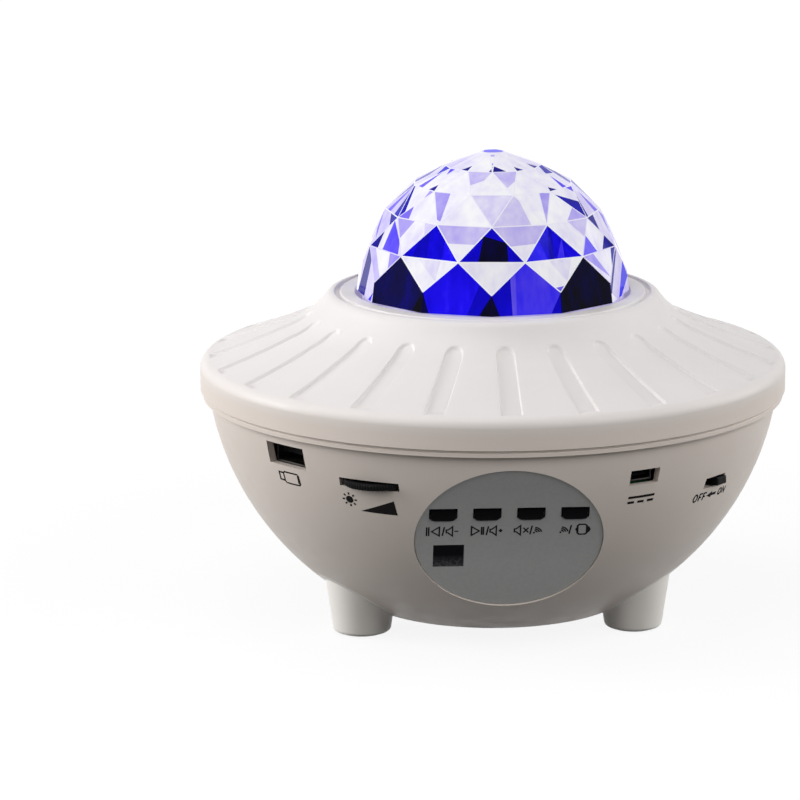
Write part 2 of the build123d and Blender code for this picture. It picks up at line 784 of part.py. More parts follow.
def make_lamp_cup():
    """Black carrier cup of the lamp, laser, motor and axle."""
    cup = eared_ring(ring_radius, cup_radius - cup_wall, cup_flange_z, ring_low_z)
    cup += tube(cup_radius, cup_radius - cup_wall, cup_low_z, cup_flange_z + overlap)
    cup += rod(cup_radius - cup_wall / 2, cup_low_z, cup_floor_z)
    cup += rod(axle_boss_radius, cup_floor_z - overlap, axle_boss_z)
    cup += socket_wall(motor_radius, gear_centres, motor_azimuth, motor_socket_height)
    cup += socket_wall(laser_radius, laser_offset, laser_azimuth, laser_socket_height)
    cup -= rod(axle_radius + press_fit, cup_floor_z, axle_boss_z + past)
    for azimuth in lead_hole_angles:
        cup -= rod(lead_hole_radius, cup_low_z - past, cup_floor_z + past, spot(lead_hole_circle, azimuth))
    return cup


def socket_wall(radius, offset_radius, azimuth, height):
    """Round wall on the cup's floor that holds a cylinder."""
    bore = radius + shaft_fit
    at = spot(offset_radius, azimuth)
    return tube(bore + motor_socket_wall, bore, cup_floor_z - overlap, cup_floor_z + height, at)


def make_lamp_screws():
    """Screws through the cup's and the ring's ears into the lid."""
    screw = pan_screw(small_head_radius, small_head_height, lamp_screw_radius, lamp_screw_length)
    return [Pos(*spot(ear_circle, a), cup_flange_z) * screw for a in ear_angles]


def involute(angle):
    """Involute function of an angle in radians."""
    return tan(angle) - angle


def gear_face_outline(teeth):
    """Face of a spur gear whose first tooth points along +X."""
    pitch = gear_module * teeth / 2
    pressure = radians(pressure_angle)
    base = pitch * cos(pressure)
    root = pitch - tooth_dedendum * gear_module
    tip = pitch + tooth_addendum * gear_module
    half_tooth = pi / 2 / teeth - tooth_backlash / 2 / pitch / 2
    start = max(base, root)
    flank = []
    for i in range(flank_steps + 1):
        radius = start + (tip - start) * i / flank_steps
        flank.append((radius, half_tooth + involute(pressure) - involute(acos(base / radius))))
    if root < base:
        flank.insert(0, (root, flank[0][1]))
    points = []
    for tooth in range(teeth):
        middle = 2 * pi * tooth / teeth
        for radius, half in flank:
            points.append((radius * cos(middle - half), radius * sin(middle - half)))
        for radius, half in reversed(flank):
            points.append((radius * cos(middle + half), radius * sin(middle + half)))
    return make_face(Polyline(*points, close=True))


def make_wave_disc():
    """Clear ripple disc with its hub gear moulded underneath."""
    gear = extrude(Rot(0, 0, 90) * gear_face_outline(disc_gear_teeth), gear_face)
    face_z = disc_low_z + disc_thickness
    disc = rod(disc_radius, disc_low_z, face_z)
    disc += tube(disc_radius, disc_radius - disc_rim_width, disc_low_z, face_z + disc_rim_rise)
    disc += rod(disc_hub_radius, disc_low_z, disc_low_z + disc_hub_rise)
    disc += Pos(0, 0, disc_gear_z) * gear
    return disc - rod(axle_radius + shaft_fit, disc_gear_z - past, disc_low_z + disc_hub_rise + past)


def make_disc_axle():
    """Steel pin that the ripple disc turns on."""
    top = disc_low_z + disc_hub_rise + turning_gap + clip_thickness + axle_end
    pin = rod(axle_radius, cup_floor_z, top)
    return chamfer(pin.edges().sort_by(Axis.Z)[-1], axle_end_cut)


def make_axle_clip():
    """Clip that keeps the disc on its pin."""
    low = disc_low_z + disc_hub_rise + turning_gap
    return tube(clip_radius, axle_radius + press_fit, low, low + clip_thickness)


def make_gear_motor():
    """Flat gear motor with a boss round its shaft."""
    x, y = spot(gear_centres, motor_azimuth)
    top = cup_floor_z + motor_height
    body = rod(motor_radius, cup_floor_z, top, (x, y))
    body = fillet(body.edges().sort_by(Axis.Z)[-1], motor_edge_round)
    boss_z = top + motor_boss_rise
    body += rod(motor_boss_radius, top - overlap, boss_z, (x, y))
    return body - rod(motor_shaft_radius + shaft_fit, top - motor_shaft_hole, boss_z + past, (x, y))


def make_motor_shaft():
    """Output shaft of the gear motor."""
    low = cup_floor_z + motor_height - motor_shaft_hole + turning_gap
    return rod(motor_shaft_radius, low, disc_low_z - 2 * turning_gap, spot(gear_centres, motor_azimuth))


def make_drive_gear():
    """Pinion on the motor's shaft, with a gap facing the disc's tooth."""
    x, y = spot(gear_centres, motor_azimuth)
    face = Rot(0, 0, -90 + 180.0 / drive_gear_teeth) * gear_face_outline(drive_gear_teeth)
    gear = Pos(x, y, disc_gear_z) * extrude(face, gear_face - turning_gap)
    return gear - rod(motor_shaft_radius + press_fit, disc_gear_z - past, disc_low_z, (x, y))


def make_heat_sink():
    """Finned aluminium block under the lamp's board."""
    x, y = spot(lamp_offset, lamp_azimuth)
    sink = rod(sink_radius, cup_floor_z, cup_floor_z + sink_height, (x, y))
    gaps = int(sink_radius / sink_fin_pitch)
    for i in range(-gaps, gaps + 1):
        groove = Box(sink_fin_pitch - sink_fin, 3 * sink_radius, sink_height - sink_base, align=RISING)
        sink -= Pos(x + i * sink_fin_pitch, y, cup_floor_z) * groove
    return sink


def make_led_board():
    """Round board of the lamp."""
    low = cup_floor_z + sink_height
    return rod(led_board_radius, low, low + led_board_thickness, spot(lamp_offset, lamp_azimuth))


def make_led_emitters():
    """Four light-emitting chips, one for each colour."""
    x, y = spot(lamp_offset, lamp_azimuth)
    low = cup_floor_z + sink_height + led_board_thickness
    half = led_pitch / 2
    chip = Box(led_size, led_size, led_height, align=RISING)
    return [Pos(x + a * half, y + b * half, low) * chip for a in (-1, 1) for b in (-1, 1)]


def make_reflector():
    """Flared cup round the emitters."""
    low = cup_floor_z + sink_height + led_board_thickness
    outline = [
        (reflector_foot_radius - reflector_wall, low),
        (reflector_foot_radius, low),
        (reflector_top_radius, low + reflector_height),
        (reflector_top_radius - reflector_wall, low + reflector_height),
    ]
    return Pos(*spot(lamp_offset, lamp_azimuth), 0) * turned_polygon(outline)


def make_laser_module():
    """Brass laser barrel that stands in the cup."""
    x, y = spot(laser_offset, laser_azimuth)
    top = cup_floor_z + laser_height
    barrel = rod(laser_radius, cup_floor_z, top, (x, y))
    bore_z = top - grating_thickness - grating_sunk
    return barrel - rod(laser_radius - laser_wall, bore_z, top + past, (x, y))


def make_star_grating():
    """Clear grating that splits the laser's beam into stars."""
    top = cup_floor_z + laser_height - grating_sunk
    radius = laser_radius - laser_wall - grating_gap
    return rod(radius, top - grating_thickness, top, spot(laser_offset, laser_azimuth))


# ---------------------------------------------------------------- control panel
def button_sides():
    """Places of the four buttons across the panel."""
    return [button_aside + button_pitch * (i - 1.5) for i in range(4)]


def key_outline(grow=0.0):
    """Face of a button: a rectangle with its lower corners cut off."""
    half_width = button_width / 2 + grow
    half_height = button_height / 2 + grow
    cut = button_chamfer
    return make_face(Polyline(
        (-half_width, half_height),
        (-half_width, cut - half_height),
        (cut - half_width, -half_height),
        (half_width - cut, -half_height),
        (half_width, cut - half_height),
        (half_width, half_height),
        close=True,
    ))


def make_control_panel():
    """Round plate with holes for the buttons and the receiver's window."""
    plate = Circle(panel_radius - panel_gap)
    for side in button_sides():
        plate -= Pos(side, button_row) * key_outline(button_gap)
    window_hole = Rectangle(window_width + 2 * window_gap, window_height + 2 * window_gap)
    plate -= Pos(window_side, window_row) * window_hole
    return panel_plane(panel_seat_depth) * extrude(plate, panel_thickness)


def make_receiver_window():
    """Dark window let into the panel."""
    return panel_plane(panel_seat_depth) * Pos(window_side, window_row) * Box(
        window_width, window_height, panel_thickness, align=RISING)


def make_button(side):
    """Key with a cap through the panel, a stop flange behind it and a stem."""
    face_depth = panel_sunk - button_proud
    flange_depth = panel_back_depth + button_gap + button_flange
    cap = extrude(key_outline(), flange_depth - face_depth)
    cap = chamfer(cap.faces().sort_by(Axis.Z)[-1].edges(), button_edge_cut)
    flange = extrude(key_outline(button_stop), button_flange)
    stem = Cylinder(button_stem_radius, button_stem, align=HANGING)
    return panel_plane(flange_depth) * Pos(side, button_row) * (cap + flange + stem)


def make_key_board():
    """Small circuit board behind the panel."""
    board = Rectangle(key_board_width, key_board_height)
    plan = Pos(0, key_board_row) * board
    for x, y in key_post_places:
        plan -= Pos(x, y) * Circle(small_screw_radius + hole_gap)
    board = panel_plane(key_board_depth + key_board_thickness) * extrude(plan, key_board_thickness)
    reach = dial_thickness / 2 + turning_gap
    return board - rod(dial_radius + turning_gap, dial_z - reach, dial_z + reach, dial_centre())


def make_key_switches():
    """Tact switches under the buttons."""
    body = Box(switch_size, switch_size, switch_height, align=RISING)
    stem = Pos(0, 0, switch_height) * Cylinder(switch_stem_radius, switch_stem, align=RISING)
    return [panel_plane(key_board_depth) * Pos(s, button_row) * (body + stem) for s in button_sides()]


def make_receiver():
    """Infrared receiver with its domed lens, behind the window."""
    body = Box(receiver_width, receiver_depth, receiver_height, align=RISING)
    ball = Pos(0, 0, receiver_height) * Sphere(receiver_lens_radius)
    lens = ball & slab(0, receiver_height + receiver_lens_radius)
    return panel_plane(key_board_depth) * Pos(window_side, window_row) * (body + lens)


def make_key_screws():
    """Screws that hold the key board."""
    screw = pan_screw(board_head_radius, board_head_height, small_screw_radius, key_screw_length)
    back = panel_plane(key_board_depth + key_board_thickness)
    return [back * Pos(x, y) * screw for x, y in key_post_places]


# ---------------------------------------------------------------- main board and sockets
def make_main_board():
    """Crescent board across the front of the bowl, notched for the lid's posts and the dial."""
    edge = wall_radius(board_low_z, bowl_inner_radius) - board_margin
    forward = (Align.CENTER, Align.MAX)
    bay = Rectangle(key_board_width + 2 * board_bay_gap, 2 * edge, align=forward)
    plan = Circle(edge) & Pos(0, board_back_y) * Rectangle(2 * edge, 2 * edge, align=forward)
    plan -= Pos(0, board_front_y) * bay
    for angle in foot_angles:
        plan -= Pos(*spot(screw_circle, angle)) * Circle(post_radius + board_notch_gap)
    for x, y in board_posts:
        plan -= Pos(x, y) * Circle(small_screw_radius + hole_gap)
    notch_radius = dial_shoulder_radius + turning_gap
    notch = Rectangle(2 * notch_radius, 2 * dial_radius, align=forward)
    plan -= Pos(*dial_centre()) * (Rot(0, 0, dial_azimuth) * notch + Circle(notch_radius))
    return Pos(0, 0, board_low_z) * extrude(plan, board_thickness)


def make_board_screws():
    """Screws that hold the main board on its posts."""
    screw = pan_screw(board_head_radius, board_head_height, small_screw_radius, small_screw_length)
    return [Pos(x, y, board_top_z) * Rot(180, 0, 0) * screw for x, y in board_posts]


def make_board_parts():
    """Packages on the main board: processor, amplifier, radio module and two capacitors."""
    packages = []
    for x, y, width, length, height in board_chips:
        packages.append(Pos(x, y, board_top_z) * Box(width, length, height, align=RISING))
    capacitor = Cylinder(capacitor_radius, capacitor_height, align=RISING)
    return packages + [Pos(x, y, board_top_z) * capacitor for x, y in capacitors]


def box_sleeve(width, height, length, sheet):
    """Rectangular sleeve along -Z from z = 0, open in front."""
    outer = Box(width, height, length, align=HANGING)
    inner = Box(width - 2 * sheet, height - 2 * sheet, length + past - sheet, align=HANGING)
    return outer - Pos(0, 0, past) * inner


def socket_place(azimuth, z, width):
    """Plane of a socket's mouth, just inside the bowl wall."""
    mouth = wall_radius(z, bowl_inner_radius, width / 2) - cutout_gap
    return facing_out(mouth, azimuth, z)


def board_legs(width, height, length, z):
    """Two legs from a socket's sides down to the board."""
    drop = z - height / 2 - board_top_z
    leg = Box(leg_width, drop + leg_overlap, leg_depth, align=(Align.CENTER, Align.MAX, Align.CENTER))
    aside = (width - leg_width) / 2
    return [Pos(side * aside, leg_overlap - height / 2, -length * leg_place) * leg for side in (-1, 1)]


def make_usb_shell():
    """Sheet-metal shell of the media socket on its legs."""
    shell = box_sleeve(usb_width, usb_height, usb_length, usb_sheet)
    for leg in board_legs(usb_width, usb_height, usb_length, usb_z):
        shell += leg
    return socket_place(usb_azimuth, usb_z, usb_width) * shell


def make_usb_tongue():
    """Insulating block and contact tongue of the media socket."""
    inner_width = usb_width - 2 * (usb_sheet + press_fit)
    inner_height = usb_height - 2 * (usb_sheet + press_fit)
    back = -usb_length + usb_sheet + press_fit
    block = Pos(0, 0, back) * Box(inner_width, inner_height, usb_block_length, align=RISING)
    reach = usb_length - usb_sheet - usb_tongue_setback
    tongue = Box(usb_tongue_width, usb_tongue_thickness, reach, align=RISING)
    place = socket_place(usb_azimuth, usb_z, usb_width)
    return place * (block + Pos(0, usb_tongue_rise, back) * tongue)


def make_power_shell():
    """Sheet-metal shell of the power socket on its legs."""
    shell = box_sleeve(power_width, power_height, power_length, power_sheet)
    for leg in board_legs(power_width, power_height, power_length, power_z):
        shell += leg
    return socket_place(power_azimuth, power_z, power_width) * shell


def make_power_tongue():
    """Insulating block and contact tongue of the power socket."""
    inner_width = power_width - 2 * (power_sheet + press_fit)
    inner_height = power_height - 2 * (power_sheet + press_fit)
    back = -power_length + power_sheet + press_fit
    block = Pos(0, 0, back) * Box(inner_width, inner_height, power_block_length, align=RISING)
    reach = power_length - power_sheet - power_tongue_setback
    tongue = Box(power_tongue_width, power_tongue_thickness, reach, align=RISING)
    place = socket_place(power_azimuth, power_z, power_width)
    return place * (block + Pos(0, 0, back) * tongue)


def dial_centre():
    """Plan position of the dial's spindle."""
    return spot(wall_radius(dial_z, bowl_radius) + dial_proud - dial_radius, dial_azimuth)


def make_brightness_dial():
    """Flat thumbwheel with a notched edge."""
    x, y = dial_centre()
    low = dial_z - dial_thickness / 2
    wheel = Circle(dial_radius) - Circle(dial_spindle_radius + shaft_fit)
    notch = Pos(dial_radius, 0) * Circle(dial_notch_radius)
    for i in range(dial_notches):
        wheel -= Rot(0, 0, 360.0 / dial_notches * i) * notch
    return Pos(x, y, low) * extrude(wheel, dial_thickness)


def make_dial_body():
    """Body of the dial's resistor under the board, with its spindle and cap."""
    centre = dial_centre()
    low = dial_z - dial_thickness / 2
    wall = wall_radius(board_low_z - dial_body_height, bowl_inner_radius, dial_body_width / 2)
    block = Box(dial_body_width, dial_body_height, dial_body_length, align=UNDER_AND_BEHIND)
    body = facing_out(wall - cutout_gap, dial_azimuth, board_low_z) * block
    root_z = board_low_z - past
    shoulder = rod(dial_shoulder_radius, root_z, low - turning_gap, centre)
    spindle = rod(dial_spindle_radius, root_z, low + dial_thickness + turning_gap, centre)
    cavity = Pos(0, 0, bowl_centre_z) * Sphere(bowl_inner_radius - dial_wall_gap)
    return body + ((shoulder + spindle) & cavity)


def make_dial_cap():
    """Cap riveted on the dial's spindle."""
    low = dial_z + dial_thickness / 2 + turning_gap
    return rod(dial_cap_radius, low, low + dial_cap_height, dial_centre())


def slider_place():
    """Plane of the slide switch's front face, at the middle of the slider's travel."""
    wall = wall_radius(board_low_z - slider_body_height, bowl_inner_radius, slider_body_width / 2)
    return facing_out(wall - slider_wall_gap, slider_azimuth, slider_z)


def make_slide_switch():
    """Body of the slide switch under the board, with the channel of its slider."""
    body = Box(slider_body_width, slider_body_height, slider_body_length, align=UNDER_AND_BEHIND)
    body = Pos(0, board_low_z - slider_z) * body
    reach = slider_knob_width - 2 * slider_neck_cut + slider_travel + 2 * slider_gap
    height = slider_knob_height - 2 * slider_neck_cut + 2 * slider_gap
    channel = Box(reach, height, slider_channel + slider_gap, align=HANGING)
    return slider_place() * (body - channel)


def make_power_slider():
    """Black slider through the bowl's wall, standing at ON."""
    place = slider_place()
    face_radius = Vector(place.origin.X, place.origin.Y).length
    outer = wall_radius(slider_z, bowl_radius) + slider_proud - face_radius
    knob = Box(slider_knob_width, slider_knob_height, outer - slider_gap, align=RISING)
    knob = chamfer(knob.faces().sort_by(Axis.Z)[-1].edges(), slider_edge_cut)
    knob = Pos(0, 0, slider_gap) * knob
    neck_width = slider_knob_width - 2 * slider_neck_cut
    neck_height = slider_knob_height - 2 * slider_neck_cut
    neck = Box(neck_width, neck_height, slider_channel + slider_gap)
    knob += Pos(0, 0, (slider_gap - slider_channel) / 2) * neck
    return place * Pos(slider_travel / 2, 0, 0) * knob


# ---------------------------------------------------------------- speaker
def make_speaker_frame():
    """Pressed basket with four ears and windows round its side."""
    low = bowl_inside_z
    top = low + speaker_depth
    basket = turned_polygon([
        (surround_radius, low + speaker_flange),
        (speaker_radius, low + speaker_flange),
        (speaker_neck_radius + speaker_sheet, top),
        (cone_neck_radius - basket_lip, top),
        (cone_neck_radius - basket_lip, top - speaker_sheet),
        (speaker_neck_radius, top - speaker_sheet),
    ])
    for i in range(speaker_windows):
        azimuth = 360.0 / speaker_windows * (i + 0.5)
        place = facing_out(0, azimuth, low + speaker_depth * speaker_window_place)
        basket -= place * Cylinder(speaker_window_radius, speaker_radius, align=RISING)
    flange = Pos(0, 0, low) * extrude(speaker_plan() - Circle(surround_radius), speaker_flange)
    flange_z = low + speaker_flange
    for angle in speaker_ear_angles:
        at = spot(speaker_ear_circle, angle)
        flange -= rod(small_screw_radius + hole_gap, low - past, flange_z + past, at)
    return basket + flange


def make_speaker_magnet():
    """Magnet and back plate on the basket."""
    low = bowl_inside_z + speaker_depth
    magnet = rod(magnet_radius, low, low + magnet_height)
    return chamfer(magnet.edges().sort_by(Axis.Z)[-1], magnet_edge_cut)


def make_speaker_cone():
    """Paper cone with its dust cap and voice-coil former."""
    rim = bowl_inside_z + speaker_flange - cone_thickness
    neck = rim + cone_height
    cone = turned_polygon([
        (cone_neck_radius, neck),
        (cone_neck_radius, neck + cone_thickness),
        (cone_radius - cone_rim, rim + cone_thickness),
        (cone_radius, rim + cone_thickness),
        (cone_radius, rim),
        (cone_radius - cone_rim, rim),
    ])
    outside, inside = cone_neck_radius + cap_outside, cone_neck_radius - cap_inside
    below = Box(2 * speaker_radius, 2 * speaker_radius, speaker_radius, align=HANGING)
    cap = Pos(0, 0, neck) * (Sphere(outside) & below)
    cap -= Pos(0, 0, neck) * Sphere(inside)
    former = tube(outside, inside, neck - former_overlap, neck + former_rise)
    return cone + cap + former


def make_speaker_surround():
    """Half-rolled ring between the cone and the basket."""
    rim = bowl_inside_z + speaker_flange - cone_thickness
    inner, outer = cone_radius + surround_inner_gap, surround_radius - surround_outer_gap
    upper = [(inner, rim + cone_thickness), (outer, rim + cone_thickness)]
    return turned([
        Line((inner, rim), upper[0]),
        SagittaArc(upper[0], upper[1], -surround_roll),
        Line(upper[1], (outer, rim)),
        SagittaArc((outer, rim), (inner, rim), surround_roll),
    ])


def make_speaker_screws():
    """Screws that hold the speaker's ears."""
    screw = pan_screw(board_head_radius, board_head_height, small_screw_radius, speaker_screw_length)
    top = bowl_inside_z + speaker_flange
    return [Pos(*spot(speaker_ear_circle, a), top) * Rot(180, 0, 0) * screw for a in speaker_ear_angles]


# ---------------------------------------------------------------- the whole projector
def make_nodes():
    """Every node by name: a solid, or a list of the like solids in it."""
    nodes = {
        "upper_cover": make_upper_cover(),
        "lower_bowl": make_lower_bowl(),
        "foot_pads": make_foot_pads(),
        "case_screws": make_case_screws(),
        "faceted_dome": make_faceted_dome(),
        "dome_ring": make_dome_ring(),
        "lamp_cup": make_lamp_cup(),
        "lamp_screws": make_lamp_screws(),
        "wave_disc": make_wave_disc(),
        "disc_axle": make_disc_axle(),
        "axle_clip": make_axle_clip(),
        "gear_motor": make_gear_motor(),
        "motor_shaft": make_motor_shaft(),
        "drive_gear": make_drive_gear(),
        "heat_sink": make_heat_sink(),
        "led_board": make_led_board(),
        "led_emitters": make_led_emitters(),
        "reflector": make_reflector(),
        "laser_module": make_laser_module(),
        "star_grating": make_star_grating(),
        "control_panel": make_control_panel(),
        "receiver_window": make_receiver_window(),
        "key_board": make_key_board(),
        "key_switches": make_key_switches(),
        "infrared_receiver": make_receiver(),
        "key_screws": make_key_screws(),
        "main_board": make_main_board(),
        "board_screws": make_board_screws(),
        "board_parts": make_board_parts(),
        "usb_shell": make_usb_shell(),
        "usb_tongue": make_usb_tongue(),
        "power_shell": make_power_shell(),
        "power_tongue": make_power_tongue(),
        "brightness_dial": make_brightness_dial(),
        "dial_resistor": make_dial_body(),
        "dial_cap": make_dial_cap(),
        "slide_switch": make_slide_switch(),
        "power_slider": make_power_slider(),
        "speaker_frame": make_speaker_frame(),
        "speaker_magnet": make_speaker_magnet(),
        "speaker_cone": make_speaker_cone(),
        "speaker_surround": make_speaker_surround(),
        "speaker_screws": make_speaker_screws(),
    }
    names = ("previous_button", "play_button", "mute_button", "source_button")
    for name, side in zip(names, button_sides()):
        nodes[name] = make_button(side)
    return nodes


def write_nodes():
    """Writes one STEP file for each node."""
    os.makedirs("parts", exist_ok=True)
    for name, shape in make_nodes().items():
        if isinstance(shape, list):
            shape = Compound(children=shape)
        export_step(shape, f"parts/{name}.step")


write_nodes()
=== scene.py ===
import math

import bmesh
import bpy
import numpy as np
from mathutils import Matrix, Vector


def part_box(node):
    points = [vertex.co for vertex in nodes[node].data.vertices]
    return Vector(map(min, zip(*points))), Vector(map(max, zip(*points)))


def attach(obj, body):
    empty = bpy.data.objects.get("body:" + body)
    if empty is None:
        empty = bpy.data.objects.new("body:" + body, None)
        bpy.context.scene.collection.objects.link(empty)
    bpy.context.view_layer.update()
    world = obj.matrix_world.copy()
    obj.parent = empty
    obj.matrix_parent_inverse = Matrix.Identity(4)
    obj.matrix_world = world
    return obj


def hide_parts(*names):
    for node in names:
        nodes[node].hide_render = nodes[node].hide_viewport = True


bl_info = {
    "name": "Star Projector Finish",
    "version": (1, 0, 0),
    "blender": (4, 5, 0),
    "location": "View3D > Sidebar > Projector",
    "description": "Finishes the packed frame of a saucer-shaped night light projector",
    "category": "Object",
}

# Lengths are in metres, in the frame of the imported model: +Z up, the control panel faces -Y and
# the origin is on the axis, under the feet. Azimuths are degrees from the front, towards +X.
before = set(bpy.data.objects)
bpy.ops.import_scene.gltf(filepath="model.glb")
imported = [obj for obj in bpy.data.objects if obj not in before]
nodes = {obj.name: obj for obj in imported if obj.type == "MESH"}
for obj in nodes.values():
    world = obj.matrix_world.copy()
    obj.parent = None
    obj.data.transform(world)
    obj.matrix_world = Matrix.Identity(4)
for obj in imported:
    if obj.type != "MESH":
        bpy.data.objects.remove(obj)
bpy.context.view_layer.update()


# ---------------------------------------------------------------- settings
def length(name, default, description):
    """A setting that is a distance."""
    return bpy.props.FloatProperty(
        name=name, default=default, description=description, unit="LENGTH", precision=5)


def angle(name, default, description):
    """A setting that is an angle, given in degrees."""
    return bpy.props.FloatProperty(
        name=name, default=math.radians(default), description=description, unit="ROTATION")


def power(name, default, description):
    """A setting that is a lamp's power in watts."""
    return bpy.props.FloatProperty(
        name=name, default=default, description=description, unit="POWER", min=0.0)


def paint(name, red, green, blue, description):
    """A setting that is a colour, given in screen values up to 255."""
    return bpy.props.FloatVectorProperty(
        name=name, default=screen(red, green, blue), description=description,
        subtype="COLOR", size=3, min=0.0, max=1.0)


def screen(*values):
    """Screen colour values up to 255 as linear ones."""
    shares = [value / 255 for value in values]
    return tuple(s / 12.92 if s <= 0.04045 else ((s + 0.055) / 1.055) ** 2.4 for s in shares)


class StudioSettings(bpy.types.PropertyGroup):
    """Camera and light."""

    azimuth: angle("Azimuth", -3.7, "Camera's place round the projector, from the front")
    elevation: angle("Elevation", 12.5, "Camera's height above the horizon")
    distance: length("Distance", 1.1, "Camera to the point that it looks at")
    aim_height: length("Aim height", 0.0682, "Height of the point that the camera looks at")
    lens: bpy.props.FloatProperty(
        name="Lens", default=175.0, description="Focal length on a 36 mm sensor, in mm", min=1.0)
    shift_right: bpy.props.FloatProperty(
        name="Shift X", default=-0.116, description="Sideways shift of the camera")
    shift_up: bpy.props.FloatProperty(
        name="Shift Y", default=-0.0325, description="Upward shift of the camera")
    over_power: power("Overhead power", 4.4, "Lamp overhead")
    left_power: power("Left power", 12.6, "Lamp on the left")
    right_power: power("Right power", 6.8, "Lamp on the right")
    front_left_power: power("Front left power", 4.5, "Lamp in front, on the left")
    front_right_power: power("Front right power", 6.5, "Lamp in front, on the right")
    lamp_size: length("Lamp size", 0.7, "Side of the square lamps")
    fill: bpy.props.FloatProperty(
        name="Fill", default=0.01, description="Light from all round", min=0.0)
    floor_tone: bpy.props.FloatProperty(
        name="Floor tone", default=0.10, description="How much light the floor throws back",
        min=0.0, max=1.0)
    floor_size: length("Floor size", 6.0, "Side of the square floor")


class CasingSizes(bpy.types.PropertyGroup):
    """Outline of the saucer lid."""

    band_height: length("Band height", 0.0064, "Height of the upright band at the rim")
    band_round: length("Band rounding", 0.0007, "Rounding at the foot of the band")
    crease_width: length("Crease width", 0.0022, "How far the band's top edge rolls in")
    crease_height: length("Crease height", 0.0030, "How high the band's top edge rolls")
    collar_width: length("Collar width", 0.00845, "From the dome's opening to the collar's edge")
    collar_rise: length("Collar rise", 0.0276, "Top of the collar above the parting line")
    throat_width: length("Throat width", 0.0108, "From the collar's edge to the brim")
    throat_fall: length("Throat fall", 0.0097, "From the collar's top to the brim")
    shoulder: length("Shoulder", 0.0024, "Width of the collar's rolled edge")
    shoulder_drop: length("Shoulder drop", 0.0014, "Height of the collar's rolled edge")
    groove_place: length("Groove place", 0.00495, "Middle of the collar's groove, from the opening")
    groove_width: length("Groove width", 0.0015, "Width of the collar's groove")
    groove_depth: length("Groove depth", 0.0008, "Depth of the collar's groove")
    wall: length("Wall", 0.0022, "Thickness of the lid")
    soft_edge: length("Edge rounding", 0.00025, "Rounding of the lid's small edges")
    flutes: bpy.props.IntProperty(name="Flutes", default=24, description="Number of flutes", min=1)
    flute_gap: length("Flute start", 0.0038, "From the collar's edge to a flute")
    flute_end: length("Flute end", 0.0027, "From the end of a flute to the rim")
    flute_inner: length("Flute inner width", 0.0048, "Width of a flute at the throat")
    flute_outer: length("Flute outer width", 0.0056, "Width of a flute near the rim")
    flute_depth: length("Flute depth", 0.00085, "Depth of a flute")
    flute_soft: length("Flute edge", 0.00045, "Width over which a flute's wall rises")
    flute_fade: length("Flute fade", 0.0030, "Length over which a flute runs out")


class DomeSizes(bpy.types.PropertyGroup):
    """The faceted dome."""

    radius: length("Radius", 0.0381, "Through the facets' corners")
    wall: length("Wall", 0.0018, "Thickness of the dome")
    crown_radius: length("Crown radius", 0.0032, "Corners of the flat crown")
    crown_proud: length("Crown rise", 0.0013, "Crown above the sphere of the other corners")
    turn: angle("Turn", -4.2, "Azimuth of a corner of the lowest row")
    sides: bpy.props.IntProperty(name="Sides", default=12, description="Corners in a row", min=3)
    edge: length("Edge", 0.00016, "Width of the polished edge of a facet")
    gap: length("Gap", 0.00035, "Dome to the collar")


class PanelSizes(bpy.types.PropertyGroup):
    """Control panel, keys and printed marks."""

    thickness: length("Thickness", 0.0010, "Thickness of the plate")
    key_cut: length("Key corner", 0.0011, "Rounding of a key's lower corners")
    key_round: length("Key rounding", 0.00035, "Rounding of a key's edges")
    sign_row: length("Sign row", 0.00295, "Printed signs above the panel's middle")
    line: length("Line", 0.00042, "Width of a printed line")
    ink: length("Ink", 0.00003, "How far print stands out")


class Colours(bpy.types.PropertyGroup):
    """Colours of the finishes."""

    casing: paint("Casing", 227, 223, 222, "White moulded casing")
    # Painted light: the casing from the rim down is painted a warmer tone
    casing_low_warm_light: paint("Casing, low", 227, 216, 207, "The casing below the rim, a little warmer")
    # Painted light: the feet are painted lighter, for the light that reaches them
    foot: paint("Foot", 253, 249, 243, "The feet, a little lighter")
    panel: paint("Panel", 190, 191, 189, "Grey control panel")
    keys: paint("Keys", 4, 4, 6, "Black keys")
    ink: paint("Ink", 14, 11, 11, "Printed marks")
    window: paint("Window", 4, 3, 8, "Receiver window")
    board: paint("Board", 24, 82, 52, "Circuit board")
    steel: paint("Steel", 190, 190, 188, "Screws and pins")
    brass: paint("Brass", 198, 164, 92, "Laser barrel")
    rubber: paint("Rubber", 58, 57, 58, "Foot pads")


GROUPS = {
    "projector_studio": StudioSettings,
    "projector_casing": CasingSizes,
    "projector_dome": DomeSizes,
    "projector_panel": PanelSizes,
    "projector_colours": Colours,
}


def settings(name):
    """One group of settings of the scene."""
    return getattr(bpy.context.scene, "projector_" + name)


# ---------------------------------------------------------------- places from the frame
rim_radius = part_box("upper_cover")[1].x
parting_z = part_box("lower_bowl")[1].z
pad_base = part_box("foot_pads")[0].z
PANEL_TILT = math.radians(30.0)     # the panel's face, down from the upright
BOWL_RADIUS = 0.0810
BOWL_WALL = 0.0022
BOWL_CENTRE_RISE = 0.0110           # middle of the bowl's sphere above the parting line
FOOT_AZIMUTHS = (60.0, 180.0, 300.0)
FOOT_CIRCLE = 0.044
FOOT_LIGHT_REACH = 0.0114                 # reach of the feet's painted light: a foot where it runs into the bowl, from its own axis
# width over which the feet's painted light fades out
FOOT_LIGHT_SOFT = 0.0012
bowl_centre = Vector((0, 0, parting_z + BOWL_CENTRE_RISE))
panel_out = Vector((0, -math.cos(PANEL_TILT), -math.sin(PANEL_TILT)))
panel_up = Vector((0, -math.sin(PANEL_TILT), math.cos(PANEL_TILT)))
panel_middle = sum(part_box("control_panel"), Vector()) / 2
KEYS = ("previous_button", "play_button", "mute_button", "source_button")


def spot(radius, azimuth, z=0.0):
    """Point at a radius and an azimuth in radians from the front."""
    return Vector((radius * math.sin(azimuth), -radius * math.cos(azimuth), z))


